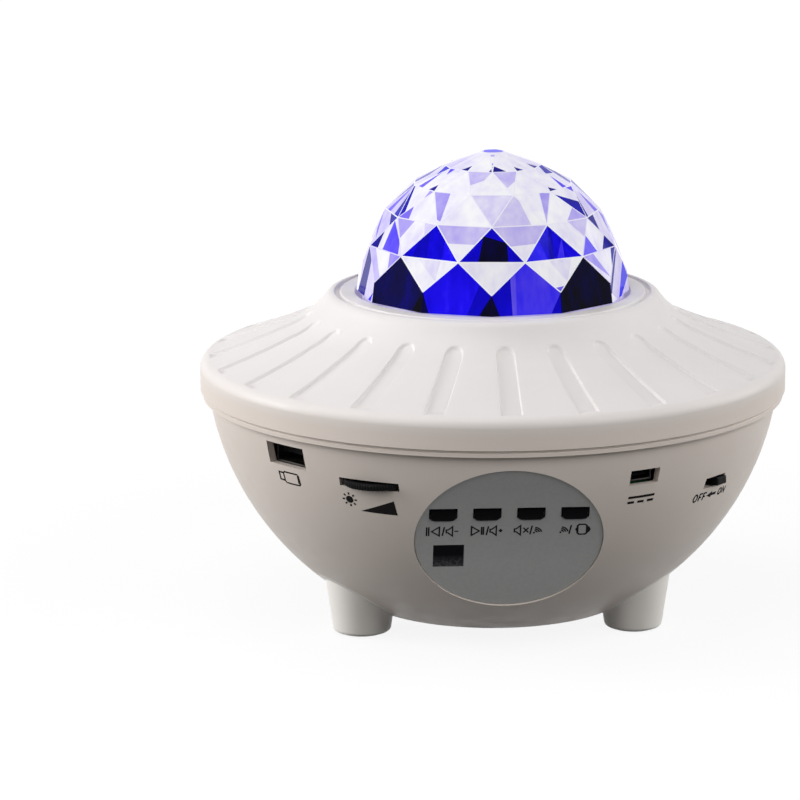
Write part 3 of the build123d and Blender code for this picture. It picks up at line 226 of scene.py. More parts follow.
def panel_point(across, up, out=0.0):
    """Point on the face of the control panel."""
    half = settings("panel").thickness / 2
    return panel_middle + Vector((across, 0, 0)) + panel_up * up + panel_out * (half + out)


def bowl_place(azimuth, z):
    """Function that lays a flat drawing on the bowl round a point of its wall."""
    start = math.radians(azimuth)
    rise = z - bowl_centre.z
    level = math.sqrt(BOWL_RADIUS ** 2 - rise ** 2)
    base = spot(level, start, rise).normalized()
    right = Vector((math.cos(start), math.sin(start), 0))
    above = base.cross(right)

    def place(across, up, out=0.0):
        direction = (base * BOWL_RADIUS + right * across + above * up).normalized()
        return bowl_centre + direction * (BOWL_RADIUS + out)

    return place


# ---------------------------------------------------------------- node materials
class Finish:
    """One procedural material, built up by short calls."""

    def __init__(self, name, colour, roughness, metallic=0.0, gloss=0.5):
        self.material = bpy.data.materials.new(name)
        self.material.use_nodes = True
        self.material.diffuse_color = (*colour, 1.0)
        self.tree = self.material.node_tree
        self.shader = self.tree.nodes["Principled BSDF"]
        self.colour = colour
        self.put("Base Color", (*colour, 1.0))
        self.put("Roughness", roughness)
        self.put("Metallic", metallic)
        self.put("Specular IOR Level", gloss)
        self.where = self.add("ShaderNodeTexCoord").outputs["Object"]

    def put(self, socket, value):
        """Sets a constant on the shader's own socket."""
        self.shader.inputs[socket].default_value = value

    def add(self, kind, **values):
        """A new node with its attributes set."""
        node = self.tree.nodes.new(kind)
        for name, value in values.items():
            setattr(node, name, value)
        return node

    def join(self, source, target):
        """Links an output to an input."""
        self.tree.links.new(source, target)

    def noise(self, scale, detail=2.0, stretch=(1.0, 1.0, 1.0), where=None):
        """Noise over the object, perhaps stretched."""
        mapping = self.add("ShaderNodeMapping")
        mapping.inputs["Scale"].default_value = stretch
        self.join(where or self.where, mapping.inputs["Vector"])
        node = self.add("ShaderNodeTexNoise")
        node.inputs["Scale"].default_value = scale
        node.inputs["Detail"].default_value = detail
        self.join(mapping.outputs["Vector"], node.inputs["Vector"])
        return node.outputs["Fac"]

    def spread(self, value, low, high, start=0.3, end=0.7):
        """Maps a value between two limits onto another pair."""
        node = self.add("ShaderNodeMapRange")
        for name, number in (("From Min", start), ("From Max", end), ("To Min", low), ("To Max", high)):
            node.inputs[name].default_value = number
        self.join(value, node.inputs["Value"])
        return node.outputs["Result"]

    def blend(self, share, first, second, kind="MIX"):
        """Mixes two colours, or outputs with colours, by a share that is a number or an output."""
        node = self.add("ShaderNodeMix", data_type="RGBA", blend_type=kind)
        if isinstance(share, bpy.types.NodeSocket):
            self.join(share, node.inputs["Factor"])
        else:
            node.inputs["Factor"].default_value = share
        for socket, value in ((node.inputs[6], first), (node.inputs[7], second)):
            if isinstance(value, bpy.types.NodeSocket):
                self.join(value, socket)
            else:
                socket.default_value = (*value, 1.0)
        return node.outputs[2]

    def reckon(self, operation, *values):
        """Result of a sum over numbers and outputs."""
        node = self.add("ShaderNodeMath", operation=operation)
        for socket, value in zip(node.inputs, values):
            if isinstance(value, bpy.types.NodeSocket):
                self.join(value, socket)
            else:
                socket.default_value = value
        return node.outputs[0]

    def height(self):
        """Height of the shaded point."""
        node = self.add("ShaderNodeSeparateXYZ")
        self.join(self.where, node.inputs["Vector"])
        return node.outputs["Z"]

    def ramp(self, share, stops):
        """Colour by a share, from places and their linear colours."""
        node = self.add("ShaderNodeValToRGB")
        elements = node.color_ramp.elements
        while len(elements) < len(stops):
            elements.new(0.5)
        for element, (place, colour) in zip(elements, stops):
            element.position = place
            element.color = (*colour, 1.0)
        self.join(share, node.inputs["Fac"])
        return node.outputs["Color"]

    def mottle(self, tone, scale, stretch=(1.0, 1.0, 1.0)):
        """Lets the colour drift a little, lighter and darker."""
        light = tuple(min(1.0, c * (1 + tone)) for c in self.colour)
        dark = tuple(c * (1 - tone) for c in self.colour)
        mixed = self.blend(self.spread(self.noise(scale, 3.0, stretch), 0.0, 1.0), dark, light)
        self.join(mixed, self.shader.inputs["Base Color"])
        return self

    def grain(self, scale, depth, stretch=(1.0, 1.0, 1.0)):
        """Adds a fine raised texture."""
        bump = self.add("ShaderNodeBump")
        bump.inputs["Distance"].default_value = depth
        self.join(self.noise(scale, 2.0, stretch), bump.inputs["Height"])
        self.join(bump.outputs["Normal"], self.shader.inputs["Normal"])
        return self

    def wear(self, low, high, scale):
        """Lets the roughness drift between two values."""
        self.join(self.spread(self.noise(scale, 3.0), low, high), self.shader.inputs["Roughness"])
        return self


def moulded(name, colour, roughness=0.45, tone=0.02, grain=0.00001, gloss=0.5):
    """Moulded plastic with a fine spark-eroded grain."""
    finish = Finish(name, colour, roughness, gloss=gloss)
    return finish.mottle(tone, 60.0).grain(2600.0, grain).wear(roughness - 0.06, roughness + 0.08, 220.0)


def metal(name, colour, roughness=0.3, brushed=(1.0, 1.0, 12.0)):
    """Plain metal with fine drawn lines."""
    finish = Finish(name, colour, roughness, metallic=1.0)
    finish.mottle(0.08, 400.0).grain(1500.0, 0.000008, brushed)
    return finish.wear(roughness * 0.7, roughness * 1.4, 500.0)


def casing_finish():
    """White casing with a fine matt grain; painted light makes it a little warmer from the rim down and
    lighter on the feet.
    """
    colours = settings("colours")
    finish = moulded("casing_satin_white", colours.casing, 0.42, 0.012, 0.000012, 0.25)
    cool = finish.shader.inputs["Base Color"].links[0].from_socket
    cloud = finish.spread(finish.noise(60.0, 3.0), 0.0, 1.0)
    # Painted light: a warmer tone from the rim down, and a lighter one on the feet
    warm = finish.blend(cloud, tuple(c * 0.988 for c in colours.casing_low_warm_light), colours.casing_low_warm_light)
    foot = finish.blend(cloud, tuple(c * 0.988 for c in colours.foot), colours.foot)
    low = finish.blend(foot_painted_light_share(finish), warm, foot)
    # Painted light: above the band the casing keeps its own colour, below it takes the painted tones
    upper = finish.spread(finish.height(), 0.0, 1.0, parting_z + 0.004, parting_z + 0.010)
    finish.join(finish.blend(upper, low, cool), finish.shader.inputs["Base Color"])
    return finish


def foot_painted_light_share(finish):
    """Mask of the feet's painted light: one on the three feet and nothing away from them."""
    flat = finish.add("ShaderNodeVectorMath", operation="MULTIPLY")
    flat.inputs[1].default_value = (1, 1, 0)
    finish.join(finish.where, flat.inputs[0])
    total = 0.0
    for azimuth in FOOT_AZIMUTHS:
        away = finish.add("ShaderNodeVectorMath", operation="DISTANCE")
        away.inputs[1].default_value = spot(FOOT_CIRCLE, math.radians(azimuth))
        finish.join(flat.outputs[0], away.inputs[0])
        share = finish.spread(away.outputs["Value"], 1.0, 0.0, FOOT_LIGHT_REACH, FOOT_LIGHT_REACH + FOOT_LIGHT_SOFT)
        total = finish.reckon("MAXIMUM", total, share)
    return total


def panel_finish():
    """Grey plate with painted shade along its upper edge, and a fine speckle."""
    grey = settings("colours").panel
    finish = moulded("panel_satin_grey", grey, 0.36, 0.02, 0.000006, 0.35)
    low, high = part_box("control_panel")
    # Painted shade: the plate darkens towards its upper edge
    up = finish.spread(finish.height(), 0.0, 1.0, low.z, high.z)
    plain = finish.ramp(up, ((0.30, grey), (0.85, tuple(c * 0.76 for c in grey))))
    speckle = finish.spread(finish.noise(900.0, 2.0), 0.0, 1.0, 0.35, 0.65)
    lighter = finish.blend(speckle, (0.94, 0.94, 0.95), (1.0, 1.0, 1.0))
    finish.join(finish.blend(1.0, plain, lighter, "MULTIPLY"), finish.shader.inputs["Base Color"])
    return finish


def window_finish():
    """Dark infrared window, greyer towards its foot."""
    colour = settings("colours").window
    finish = Finish("window_dark_violet", colour, 0.35, gloss=0.02)
    low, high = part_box("receiver_window")
    down = finish.spread(finish.height(), 1.0, 0.0, low.z, (low.z + high.z) / 2)
    cloud = finish.spread(finish.noise(1400.0, 4.0), 0.3, 1.0, 0.35, 0.6)
    grainy = finish.reckon("MULTIPLY", down, cloud)
    finish.join(finish.blend(grainy, colour, screen(104, 102, 106)), finish.shader.inputs["Base Color"])
    return finish.grain(900.0, 0.000006)


def circuit_finish(name, colour):
    """Solder-masked board with lighter tracks."""
    finish = Finish(name, colour, 0.35)
    cells = finish.add("ShaderNodeTexVoronoi", feature="DISTANCE_TO_EDGE", distance="MANHATTAN")
    cells.inputs["Scale"].default_value = 420.0
    finish.join(finish.where, cells.inputs["Vector"])
    track = finish.spread(cells.outputs["Distance"], 1.0, 0.0, 0.05, 0.09)
    lighter = tuple(min(1.0, c * 1.7) for c in colour)
    finish.join(finish.blend(track, colour, lighter), finish.shader.inputs["Base Color"])
    return finish.grain(800.0, 0.00001)


def clear_finish(name, colour, ripple):
    """Clear plastic with a rippled face."""
    finish = Finish(name, colour, 0.06)
    finish.put("Transmission Weight", 0.85)
    finish.put("IOR", 1.49)
    return finish.mottle(0.03, 90.0).grain(170.0, ripple)


def glow_finish():
    """Phosphor faces of the light-emitting chips."""
    colour = screen(246, 226, 120)
    finish = Finish("emitter_phosphor", colour, 0.5)
    finish.put("Emission Color", (*colour, 1.0))
    finish.put("Emission Strength", 0.4)
    return finish.mottle(0.12, 900.0).grain(1500.0, 0.00001)


# ---------------------------------------------------------------- mesh helpers
def piece(name, mesh, finish, body="housing", replaced=(), sharp=32.0):
    """A new piece of the projector that rides on a body and may stand for nodes."""
    thing = bpy.data.objects.new(name, mesh)
    bpy.context.scene.collection.objects.link(thing)
    mesh.materials.append(finish.material)
    mesh.shade_smooth()
    mesh.set_sharp_from_angle(angle=math.radians(sharp))
    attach(thing, body)
    if replaced:
        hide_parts(*replaced)
    return thing


def coat(finish, *names):
    """Gives nodes of the frame a finish."""
    for name in names:
        nodes[name].material_slots[0].material = finish.material


def mesh_of(name, build):
    """A mesh from what a function puts into an empty bmesh."""
    shape = bmesh.new()
    build(shape)
    mesh = bpy.data.meshes.new(name)
    shape.to_mesh(mesh)
    shape.free()
    return mesh


def arc(start, end, bulge, count):
    """Points of a shallow arc after its start; a positive bulge lies left of the way."""
    start, end = Vector(start), Vector(end)
    way = end - start
    left = Vector((-way.y, way.x)).normalized()
    points = []
    for i in range(1, count + 1):
        t = i / count
        points.append(start + way * t + left * bulge * 4 * t * (1 - t))
    return [(p.x, p.y) for p in points]


def oval(centre, width, height, steps):
    """Points round an oval, from its right side counter-clockwise."""
    turns = [2 * math.pi * i / steps for i in range(steps)]
    return [(centre[0] + width * math.cos(t), centre[1] + height * math.sin(t)) for t in turns]


def grid_faces(shape, rows, wrap_rows=False):
    """Skins rows of vertices that each close round; returns the faces."""
    faces = []
    pairs = list(zip(rows, rows[1:]))
    if wrap_rows:
        pairs.append((rows[-1], rows[0]))
    for low, high in pairs:
        count = len(low)
        for i in range(count):
            after = (i + 1) % count
            faces.append(shape.faces.new((low[i], low[after], high[after], high[i])))
    return faces


def lathe(shape, outline, steps, at=(0.0, 0.0), closed=True):
    """Turns an outline of radius and height round an upright axis."""
    rows = []
    for radius, z in outline:
        ring = []
        for i in range(steps):
            turn = 2 * math.pi * i / steps
            ring.append(shape.verts.new((
                at[0] + radius * math.sin(turn), at[1] - radius * math.cos(turn), z)))
        rows.append(ring)
    return grid_faces(shape, rows, closed)


# ---------------------------------------------------------------- saucer lid
SHOULDER_BULGE = 0.00035        # how far the lid's arcs rise over their chords
THROAT_HOLLOW = 0.00105
BRIM_HOLLOW = 0.00035
CREASE_BULGE = 0.0006
QUARTER_BULGE = 0.293           # the same for a quarter circle with a radius of one
LEDGE_THICKNESS = 0.0018
LIP_DEPTH = 0.0020
LIP_WALL = 0.0016
LIP_GAP = 0.0003
DOME_FLANGE_THICKNESS = 0.0016
AXIS_GAP = 0.0001               # turned outlines stop this short of their axis

# Screw posts over the feet and bosses of the lamp, under the lid: azimuths in degrees, circle, foot,
# radius, bore and depth of bore.
LID_POSTS = (
    (FOOT_AZIMUTHS, 0.0465, 0.0360, 0.0034, 0.00155, 0.0140),
    ((0.0, 120.0, 240.0), 0.0460, 0.0840, 0.0032, 0.0012, 0.0040),
)


def lid_slope():
    """Radius and height along the lid from the collar's shoulder to the crease."""
    sizes = settings("casing")
    opening = opening_radius()
    top = parting_z + sizes.collar_rise
    collar = opening + sizes.collar_width
    shoulder = (collar - sizes.shoulder, top)
    throat = (collar, top - sizes.shoulder_drop)
    brim = (collar + sizes.throat_width, top - sizes.throat_fall)
    crease = (rim_radius - sizes.crease_width, parting_z + sizes.band_height + sizes.crease_height)
    points = [shoulder]
    points += arc(shoulder, throat, SHOULDER_BULGE, 12)
    points += arc(throat, brim, -THROAT_HOLLOW, 60)
    points += arc(brim, crease, -BRIM_HOLLOW, 90)
    return np.array(points)


def opening_radius():
    """Radius of the dome's opening in the lid."""
    dome = settings("dome")
    return dome.radius * 1.008 + dome.gap


def flute_half_width(radius):
    """Half the width of a flute at a radius, nothing before its round end."""
    sizes = settings("casing")
    inner = sizes.flute_inner / 2
    start = opening_radius() + sizes.collar_width + sizes.flute_gap
    middle = start + inner
    end = rim_radius - sizes.flute_end
    if radius <= start:
        return 0.0
    if radius < middle:
        return math.sqrt(max(0.0, inner ** 2 - (middle - radius) ** 2))
    share = min(1.0, (radius - middle) / (end - middle))
    return inner + (sizes.flute_outer / 2 - inner) * share


def flute_sink(across, along):
    """Depth of the lid's flute at a place beside and along its middle line."""
    sizes = settings("casing")
    inner = sizes.flute_inner / 2
    middle = opening_radius() + sizes.collar_width + sizes.flute_gap + inner
    end = rim_radius - sizes.flute_end
    if along < middle:
        inside = inner - math.hypot(across, along - middle)
    else:
        inside = flute_half_width(along) - abs(across)
    wall = min(1.0, max(0.0, inside / sizes.flute_soft + 0.5))
    fade = min(1.0, max(0.0, (end - along) / sizes.flute_fade))
    return sizes.flute_depth * wall * wall * (3 - 2 * wall) * fade * (2 - fade)


def flute_columns(radius):
    """Places across one flute's sector at a radius, packed along the flute's edges."""
    sizes = settings("casing")
    half_sector = radius * math.sin(math.pi / sizes.flutes)
    half = flute_half_width(radius)
    soft = sizes.flute_soft
    places = [0.0]
    wanted = [half * 0.35, half * 0.7]
    wanted += [half + soft * step for step in (-0.62, -0.42, -0.22, 0.0, 0.22, 0.42, 0.62)]
    for place in wanted:
        places.append(max(place, places[-1] + soft * 0.06))
    edge = places[-1]
    for share in (0.2, 0.45, 0.72, 1.0):
        places.append(edge + (half_sector - edge) * share)
    return [-p for p in reversed(places[1:-1])] + places


def lid_rows():
    """Outline of the lid as (radius, height, fluted) rows, closed round its wall."""
    sizes = settings("casing")
    opening = opening_radius()
    top = parting_z + sizes.collar_rise
    soft = sizes.soft_edge
    slope = lid_slope()
    seat_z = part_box("faceted_dome")[0].z + DOME_FLANGE_THICKNESS
    rows = [(opening, seat_z), (opening, top - 3 * soft), (opening, top - soft)]
    rows += arc((opening, top - soft), (opening + soft, top), 0.3 * soft, 4)
    groove = opening + sizes.groove_place
    half = sizes.groove_width / 2
    floor = top - sizes.groove_depth
    rows += [(opening + 3 * soft, top), (groove - half - 3 * soft, top), (groove - half - soft, top)]
    rows += arc((groove - half - soft, top), (groove - half, top - soft), 0.3 * soft, 3)
    rows += [(groove - half + soft * 0.2, floor + soft), (groove - half + soft, floor)]
    rows += [(groove + half - soft, floor), (groove + half - soft * 0.2, floor + soft)]
    rows += [(groove + half, top - soft)]
    rows += arc((groove + half, top - soft), (groove + half + soft, top), 0.3 * soft, 3)
    start = opening + sizes.collar_width + sizes.flute_gap
    inner = sizes.flute_inner / 2
    end = rim_radius - sizes.flute_end
    radii = list(np.linspace(slope[0, 0], start - 0.0006, 14))
    radii += [start + sizes.flute_soft * step for step in (-0.62, -0.42, -0.22)]
    radii += [start + inner * (1 - math.cos(math.radians(9.0 * i))) for i in range(11)]
    radii += list(np.linspace(start + inner + 0.001, end - sizes.flute_fade, 26))
    radii += list(np.linspace(end - sizes.flute_fade, end, 12)[1:])
    radii += list(np.linspace(end, slope[-1, 0], 6)[1:])
    fluted = [(r, float(np.interp(r, slope[:, 0], slope[:, 1]))) for r in radii]
    crease = tuple(slope[-1])
    band_top = (rim_radius, parting_z + sizes.band_height)
    foot = parting_z + sizes.band_round
    outer = arc(crease, band_top, CREASE_BULGE, 10)
    outer += [(rim_radius, z) for z in np.linspace(band_top[1], foot, 5)[1:]]
    under = (rim_radius - sizes.band_round, parting_z)
    outer += arc((rim_radius, foot), under, -QUARTER_BULGE * sizes.band_round, 6)
    return rows, fluted, outer + lid_inside(slope, seat_z)


def lid_inside(slope, seat_z):
    """The lid's hidden side: foot, lip, ledge, underside and dome seat."""
    sizes = settings("casing")
    lip = lip_radius()
    ledge = parting_z + LEDGE_THICKNESS
    inner_rim = rim_radius - sizes.wall
    rows = [(lip, parting_z), (lip, parting_z - LIP_DEPTH), (lip - LIP_WALL, parting_z - LIP_DEPTH)]
    rows += [(lip - LIP_WALL, ledge), (inner_rim, ledge), (inner_rim, parting_z + sizes.band_height)]
    seat_rim = opening_radius() + sizes.wall
    under = slope[::-6]
    rows += [(r, z - sizes.wall * 1.12) for r, z in under if seat_rim + 0.002 < r < inner_rim - 0.001]
    ceiling = parting_z + sizes.collar_rise - sizes.wall
    return rows + [(seat_rim, ceiling), (seat_rim, seat_z)]


def lip_radius():
    """Outside of the lip that drops into the bowl."""
    inside = BOWL_RADIUS - BOWL_WALL
    return math.sqrt(inside ** 2 - (BOWL_CENTRE_RISE + LIP_DEPTH) ** 2) - LIP_GAP


def build_lid(shape):
    """Skins the fluted lid and adds its screw posts and lamp bosses."""
    plain, fluted, hidden = lid_rows()
    outline = [(r, z, False) for r, z in plain]
    outline += [(r, z, True) for r, z in fluted]
    outline += [(r, z, False) for r, z in hidden]
    count = settings("casing").flutes
    rows = []
    for radius, z, cut in outline:
        ring = []
        for flute in range(count):
            middle = 2 * math.pi * flute / count
            for across in flute_columns(radius):
                turn = math.asin(across / radius)
                sink = flute_sink(across, radius * math.cos(turn)) if cut else 0.0
                ring.append(shape.verts.new(spot(radius, middle + turn, z - sink)))
        rows.append(ring)
    grid_faces(shape, rows, True)
    for azimuths, circle, *post_sizes in LID_POSTS:
        for azimuth in azimuths:
            post(shape, spot(circle, math.radians(azimuth)), *post_sizes)
    bmesh.ops.recalc_face_normals(shape, faces=shape.faces)


def post(shape, at, low, radius, bore, depth):
    """Screw post with its hole, run up into the lid's wall."""
    slope = lid_slope()
    high = 1.0
    outline = [(AXIS_GAP, high), (radius, high), (radius, low), (bore, low)]
    outline += [(bore, low + depth), (AXIS_GAP, low + depth)]
    for face in lathe(shape, outline, 28, (at.x, at.y)):
        for corner in face.verts:
            if corner.co.z == high:
                skin = float(np.interp(corner.co.xy.length, slope[:, 0], slope[:, 1]))
                corner.co.z = skin - settings("casing").wall * 0.6


# ---------------------------------------------------------------- faceted dome
DOME_ROWS = (8.6, 21.9, 37.6, 53.6, 69.2)   # heights of the corner rows, degrees
DOME_SKIN = 0.0006                          # smooth inside to the facets' middles
DOME_INSIDE_TINT = 0.12

# Painted light in the polished edges, as tints: at the foot, above the second row, and between them from
# the front or the back and from the sides.
EDGE_PAINTED_LIGHT = {"foot": 0.93, "high": 0.045, "front": 0.0, "side": 0.10}

# Painted light in the facets, from the blue lamp inside and the pale room seen through them, as tints from
# 0, white, by lavender and bright blue to 1, black: the tint of each facet of half a ring, which the other
# half repeats.
FACET_PAINTED_LIGHT = {
    "foot": (0.53, 0.985, 0.12, 0.12, 0.905, 0.62),
    "wedge_0": (0.035, 0.03, 0.06, 0.12, 0.06, 0.03),
    "rise_1": (0.69, 0.67, 0.06, 0.20, 0.08, 0.67),
    "wedge_1": (0.04, 0.05, 0.10, 0.14, 0.05, 0.04),
    "rise_2": (0.12, 0.03, 0.10, 0.14, 0.05, 0.03),
    "wedge_2": (0.12, 0.03, 0.06, 0.14, 0.05, 0.035),
    "rise_3": (0.02, 0.02, 0.05, 0.12, 0.05, 0.02),
    "wedge_3": (0.03, 0.04, 0.08, 0.10, 0.05, 0.03),
    "rise_4": (0.04, 0.04, 0.08, 0.10, 0.06, 0.04),
    "wedge_4": (0.04, 0.04, 0.06, 0.08, 0.06, 0.04),
    "crown": (0.22,),
}

# Painted glints: patches of the light inside that the facets bend, each as a tint and the patch's corners,
# which all lie on the outline of the facet. The whole part of a place is a corner of the facet, counted
# from its lowest left one or its lower tip, and the rest is the share of the way to the next corner.
GLINTS = {
    ("foot", 0): ((0.70, (0, 0.3, 3.45, 4)), (0.46, (0.3, 0.36, 3.3, 3.45)), (0.97, (0, 0.12, 4)),
                  (0.71, (0.85, 1, 2))),
    ("foot", 2): ((0.80, (2.9, 3.2, 4.2, 4.7)), (0.60, (0.4, 0.55, 1.7, 2.4)), (0.02, (0, 0.3, 4.5))),
    ("foot", 3): ((0.80, (0.1, 0.5, 2.6, 3)), (0.60, (0.75, 0.9, 1.5)), (0.02, (0, 0.1, 3.6, 4))),
    ("foot", 4): ((0.98, (0.8, 1, 2)), (0.96, (0, 0.1, 4))),
    ("foot", 5): ((0.72, (0.65, 0.82, 2, 2.35)), (0.975, (0.82, 1, 2)), (0.92, (0, 0.1, 4))),
    ("wedge_0", 1): ((0.08, (0.3, 1.2, 1.6)), (0.40, (0, 0.18, 2.85))),
    ("wedge_0", 2): ((0.24, (0.15, 1.7, 2)), (0.75, (0.4, 1, 1.15))),
    ("wedge_0", 3): ((0.70, (0.2, 1.2, 1.6)),),
    ("wedge_0", 4): ((0.26, (0.5, 1, 1.35)), (0.17, (0, 0.2, 1.8, 2))),
    ("wedge_0", 5): ((0.08, (0.35, 1.3, 1.7)),),
    ("rise_1", 0): ((0.97, (0.3, 0.75, 1.55, 2.25)),),
    ("rise_1", 1): ((0.61, (0, 0.4, 2.4)), (0.55, (0.55, 0.68, 1.6)), (0.75, (0.42, 0.5, 1.9, 2))),
    ("rise_1", 2): ((0.48, (0, 0.45, 2.45)), (0.78, (0.6, 1, 1.4))),
    ("rise_1", 3): ((0.74, (0.3, 0.6, 1.8, 2.2)),),
    ("rise_1", 4): ((0.48, (0.4, 0.9, 1.35, 2.1)), (0.79, (0, 0.25, 2.45))),
    ("rise_1", 5): ((0.73, (0.2, 0.45, 2.2, 2.5)), (0.60, (0.72, 1, 1.6))),
    ("wedge_1", 0): ((0.17, (0.5, 1, 2, 2.55)),),
    ("wedge_1", 1): ((0.15, (0.5, 1, 1.5)),),
    ("wedge_1", 2): ((0.80, (1.6, 2, 2.45)), (0.30, (0.3, 0.8, 1.2))),
    ("wedge_1", 3): ((0.78, (0.7, 1, 1.5)), (0.35, (2, 2.5, 0.2))),
    ("wedge_1", 4): ((0.22, (1.55, 2, 2.55)), (0.12, (0.65, 1, 1.3))),
    ("wedge_1", 5): ((0.17, (0.5, 1, 2, 2.5)),),
    ("rise_2", 0): ((0.02, (0.72, 1, 1.85)),),
    ("rise_2", 1): ((0.20, (0.5, 1, 1.4)),),
    ("rise_2", 2): ((0.76, (0, 0.12, 2.2)), (0.35, (0.6, 0.8, 1.8))),
    ("rise_2", 3): ((0.74, (0.7, 1, 1.8)), (0.40, (0.2, 0.4, 2))),
    ("rise_2", 4): ((0.35, (0, 0.28, 2.55)),),
    ("wedge_2", 1): ((0.22, (0, 0.95, 1.3)),),
    ("wedge_2", 2): ((0.76, (0, 0.5, 2.1, 2.5)), (0.40, (0.8, 1, 1.3))),
    ("wedge_2", 3): ((0.76, (0.2, 1, 1.4)),),
    ("wedge_2", 4): ((0.74, (0, 0.2, 1.93, 2)), (0.25, (0.7, 1, 1.2))),
    ("wedge_2", 5): ((0.24, (0.1, 1.55, 2, 2.85)),),
    ("rise_3", 2): ((0.80, (0, 0.35, 2.8)), (0.45, (0.6, 0.8, 1.6))),
    ("rise_3", 3): ((0.76, (0.3, 0.6, 1.5, 2)),),
    ("rise_3", 4): ((0.80, (0.7, 1, 1.3)), (0.40, (0.2, 0.4, 2.2))),
    ("wedge_3", 0): ((0.15, (0.6, 1, 2, 2.7)),),
    ("wedge_3", 2): ((0.74, (1, 1.4, 2.3, 0.6)),),
    ("wedge_3", 3): ((0.66, (0.6, 1, 1.7)),),
    ("wedge_3", 4): ((0.45, (1.7, 2, 2.3)),),
    ("wedge_3", 5): ((0.15, (0.65, 1, 2, 2.6)),),
    ("rise_4", 0): ((0.82, (0, 0.6, 2.68)),),
    ("rise_4", 1): ((0.80, (0, 0.4, 2.75)),),
    ("rise_4", 2): ((0.76, (0, 0.5, 2.7)),),
    ("rise_4", 4): ((0.80, (0.6, 1, 1.3)),),
    ("rise_4", 5): ((0.82, (0.85, 1, 1.2)),),
    ("wedge_4", 0): ((0.82, (0, 0.25, 2.7)), (0.28, (0.36, 0.46, 2.55, 2.65)),
                     (0.18, (0.8, 0.9, 2.1, 2.2))),
    ("crown", 0): ((0.62, (9.5, 10.5, 1.5, 2.5, 5, 7)),),
}


def dome_corner(row, step):
    """Corner of the dome's facets: rows alternate by half a step, and the crown comes last."""
    sizes = settings("dome")
    if row == len(DOME_ROWS):
        reach, rise = sizes.crown_radius, sizes.radius + sizes.crown_proud
    else:
        height = math.radians(DOME_ROWS[row])
        reach, rise = sizes.radius * math.cos(height), sizes.radius * math.sin(height)
    azimuth = sizes.turn + 2 * math.pi / sizes.sides * (step + row % 2 / 2)
    return spot(reach, azimuth, parting_z + settings("casing").collar_rise + rise)


def dome_foot_corner(step):
    """Where two of the lowest facets meet the foot of the dome."""
    sizes = settings("dome")
    half_turn = math.pi / sizes.sides
    low, above = (math.radians(row) for row in DOME_ROWS[:2])
    low_reach = sizes.radius * math.cos(low) * math.cos(half_turn)
    low_rise = sizes.radius * math.sin(low)
    reach, rise = sizes.radius * math.cos(above), sizes.radius * math.sin(above)
    flat = low_reach + (low_reach - reach) / (rise - low_rise) * low_rise
    azimuth = sizes.turn + 2 * half_turn * step
    return spot(flat / math.cos(half_turn), azimuth, parting_z + settings("casing").collar_rise)


def dome_facet_list():
    """Every facet as its corners, its tint of painted light and the painted glints in it."""
    sides = settings("dome").sides
    facets = []

    def add(ring, number, corners):
        tints = FACET_PAINTED_LIGHT[ring]
        look = number % len(tints)
        facets.append((corners, tints[look], GLINTS.get((ring, look), ())))

    for i in range(sides):
        add("foot", i, [dome_foot_corner(i), dome_foot_corner(i + 1), dome_corner(0, i + 1),
                        dome_corner(1, i), dome_corner(0, i)])
        for row in range(len(DOME_ROWS)):
            over = i + row % 2
            here, above = dome_corner(row, i), dome_corner(row + 1, over)
            add(f"wedge_{row}", i, [here, above, dome_corner(row + 1, over - 1)])
            if row > 0:
                add(f"rise_{row}", over, [here, dome_corner(row, i + 1), above])
    add("crown", 0, [dome_corner(len(DOME_ROWS), i) for i in range(sides)])
    return facets


def build_dome(shape):
    """Facets with polished edges, painted light and painted glints in them, the inside, skirt and flange.
    """
    sizes = settings("dome")
    tint = shape.loops.layers.float_color.new("facet_tint")
    marks = shape.faces.layers.int.new("facet_number")
    facets = dome_facet_list()
    joints = {}
    for number, (corners, _, _) in enumerate(facets):
        ring = []
        for p in corners:
            key = tuple(round(c, 7) for c in p)
            if key not in joints:
                joints[key] = shape.verts.new(p)
            ring.append(joints[key])
        shape.faces.new(ring)[marks] = number + 1
    shape.normal_update()
    edges = [edge for edge in shape.edges if not edge.is_boundary]
    bevelled = bmesh.ops.bevel(
        shape, geom=edges, offset=sizes.edge, segments=2, profile=0.6, affect="EDGES", clamp_overlap=True)
    for face in bevelled["faces"]:
        face[marks] = 0
        colour_face(face, tint, edge_painted_light(face), 1.0)
    for number, (corners, plain, glints) in enumerate(facets):
        for face in [face for face in shape.faces if face[marks] == number + 1]:
            colour_face(face, tint, plain)
        for level, places in glints:
            ring = [outline_point(corners, place) for place in places]
            parts = [face for face in shape.faces if face[marks] == number + 1]
            for face in cut_glint(shape, parts, ring):
                colour_face(face, tint, level)
    inside_of_dome(shape, tint)
    bmesh.ops.recalc_face_normals(shape, faces=shape.faces)


def colour_face(face, layer, level, even=0.0):
    """Tints a face, with drifting shades in it unless it is even."""
    for loop in face.loops:
        loop[layer] = (level, even, 0.0, 1.0)


def outline_point(corners, place):
    """Point on a facet's outline: a corner's number and the share of the way to the next one."""
    number = int(place)
    start, end = corners[number % len(corners)], corners[(number + 1) % len(corners)]
    return start.lerp(end, place - number)


def edge_painted_light(face):
    """Painted light of a polished edge: its tint by where it lies."""
    middle = face.calc_center_median()
    edge = settings("dome").edge
    if middle.z < dome_corner(0, 0).z - 2 * edge:
        return EDGE_PAINTED_LIGHT["foot"]
    if middle.z > dome_corner(2, 0).z - edge:
        return EDGE_PAINTED_LIGHT["high"]
    return EDGE_PAINTED_LIGHT["front" if abs(middle.y) > 1.1 * abs(middle.x) else "side"]


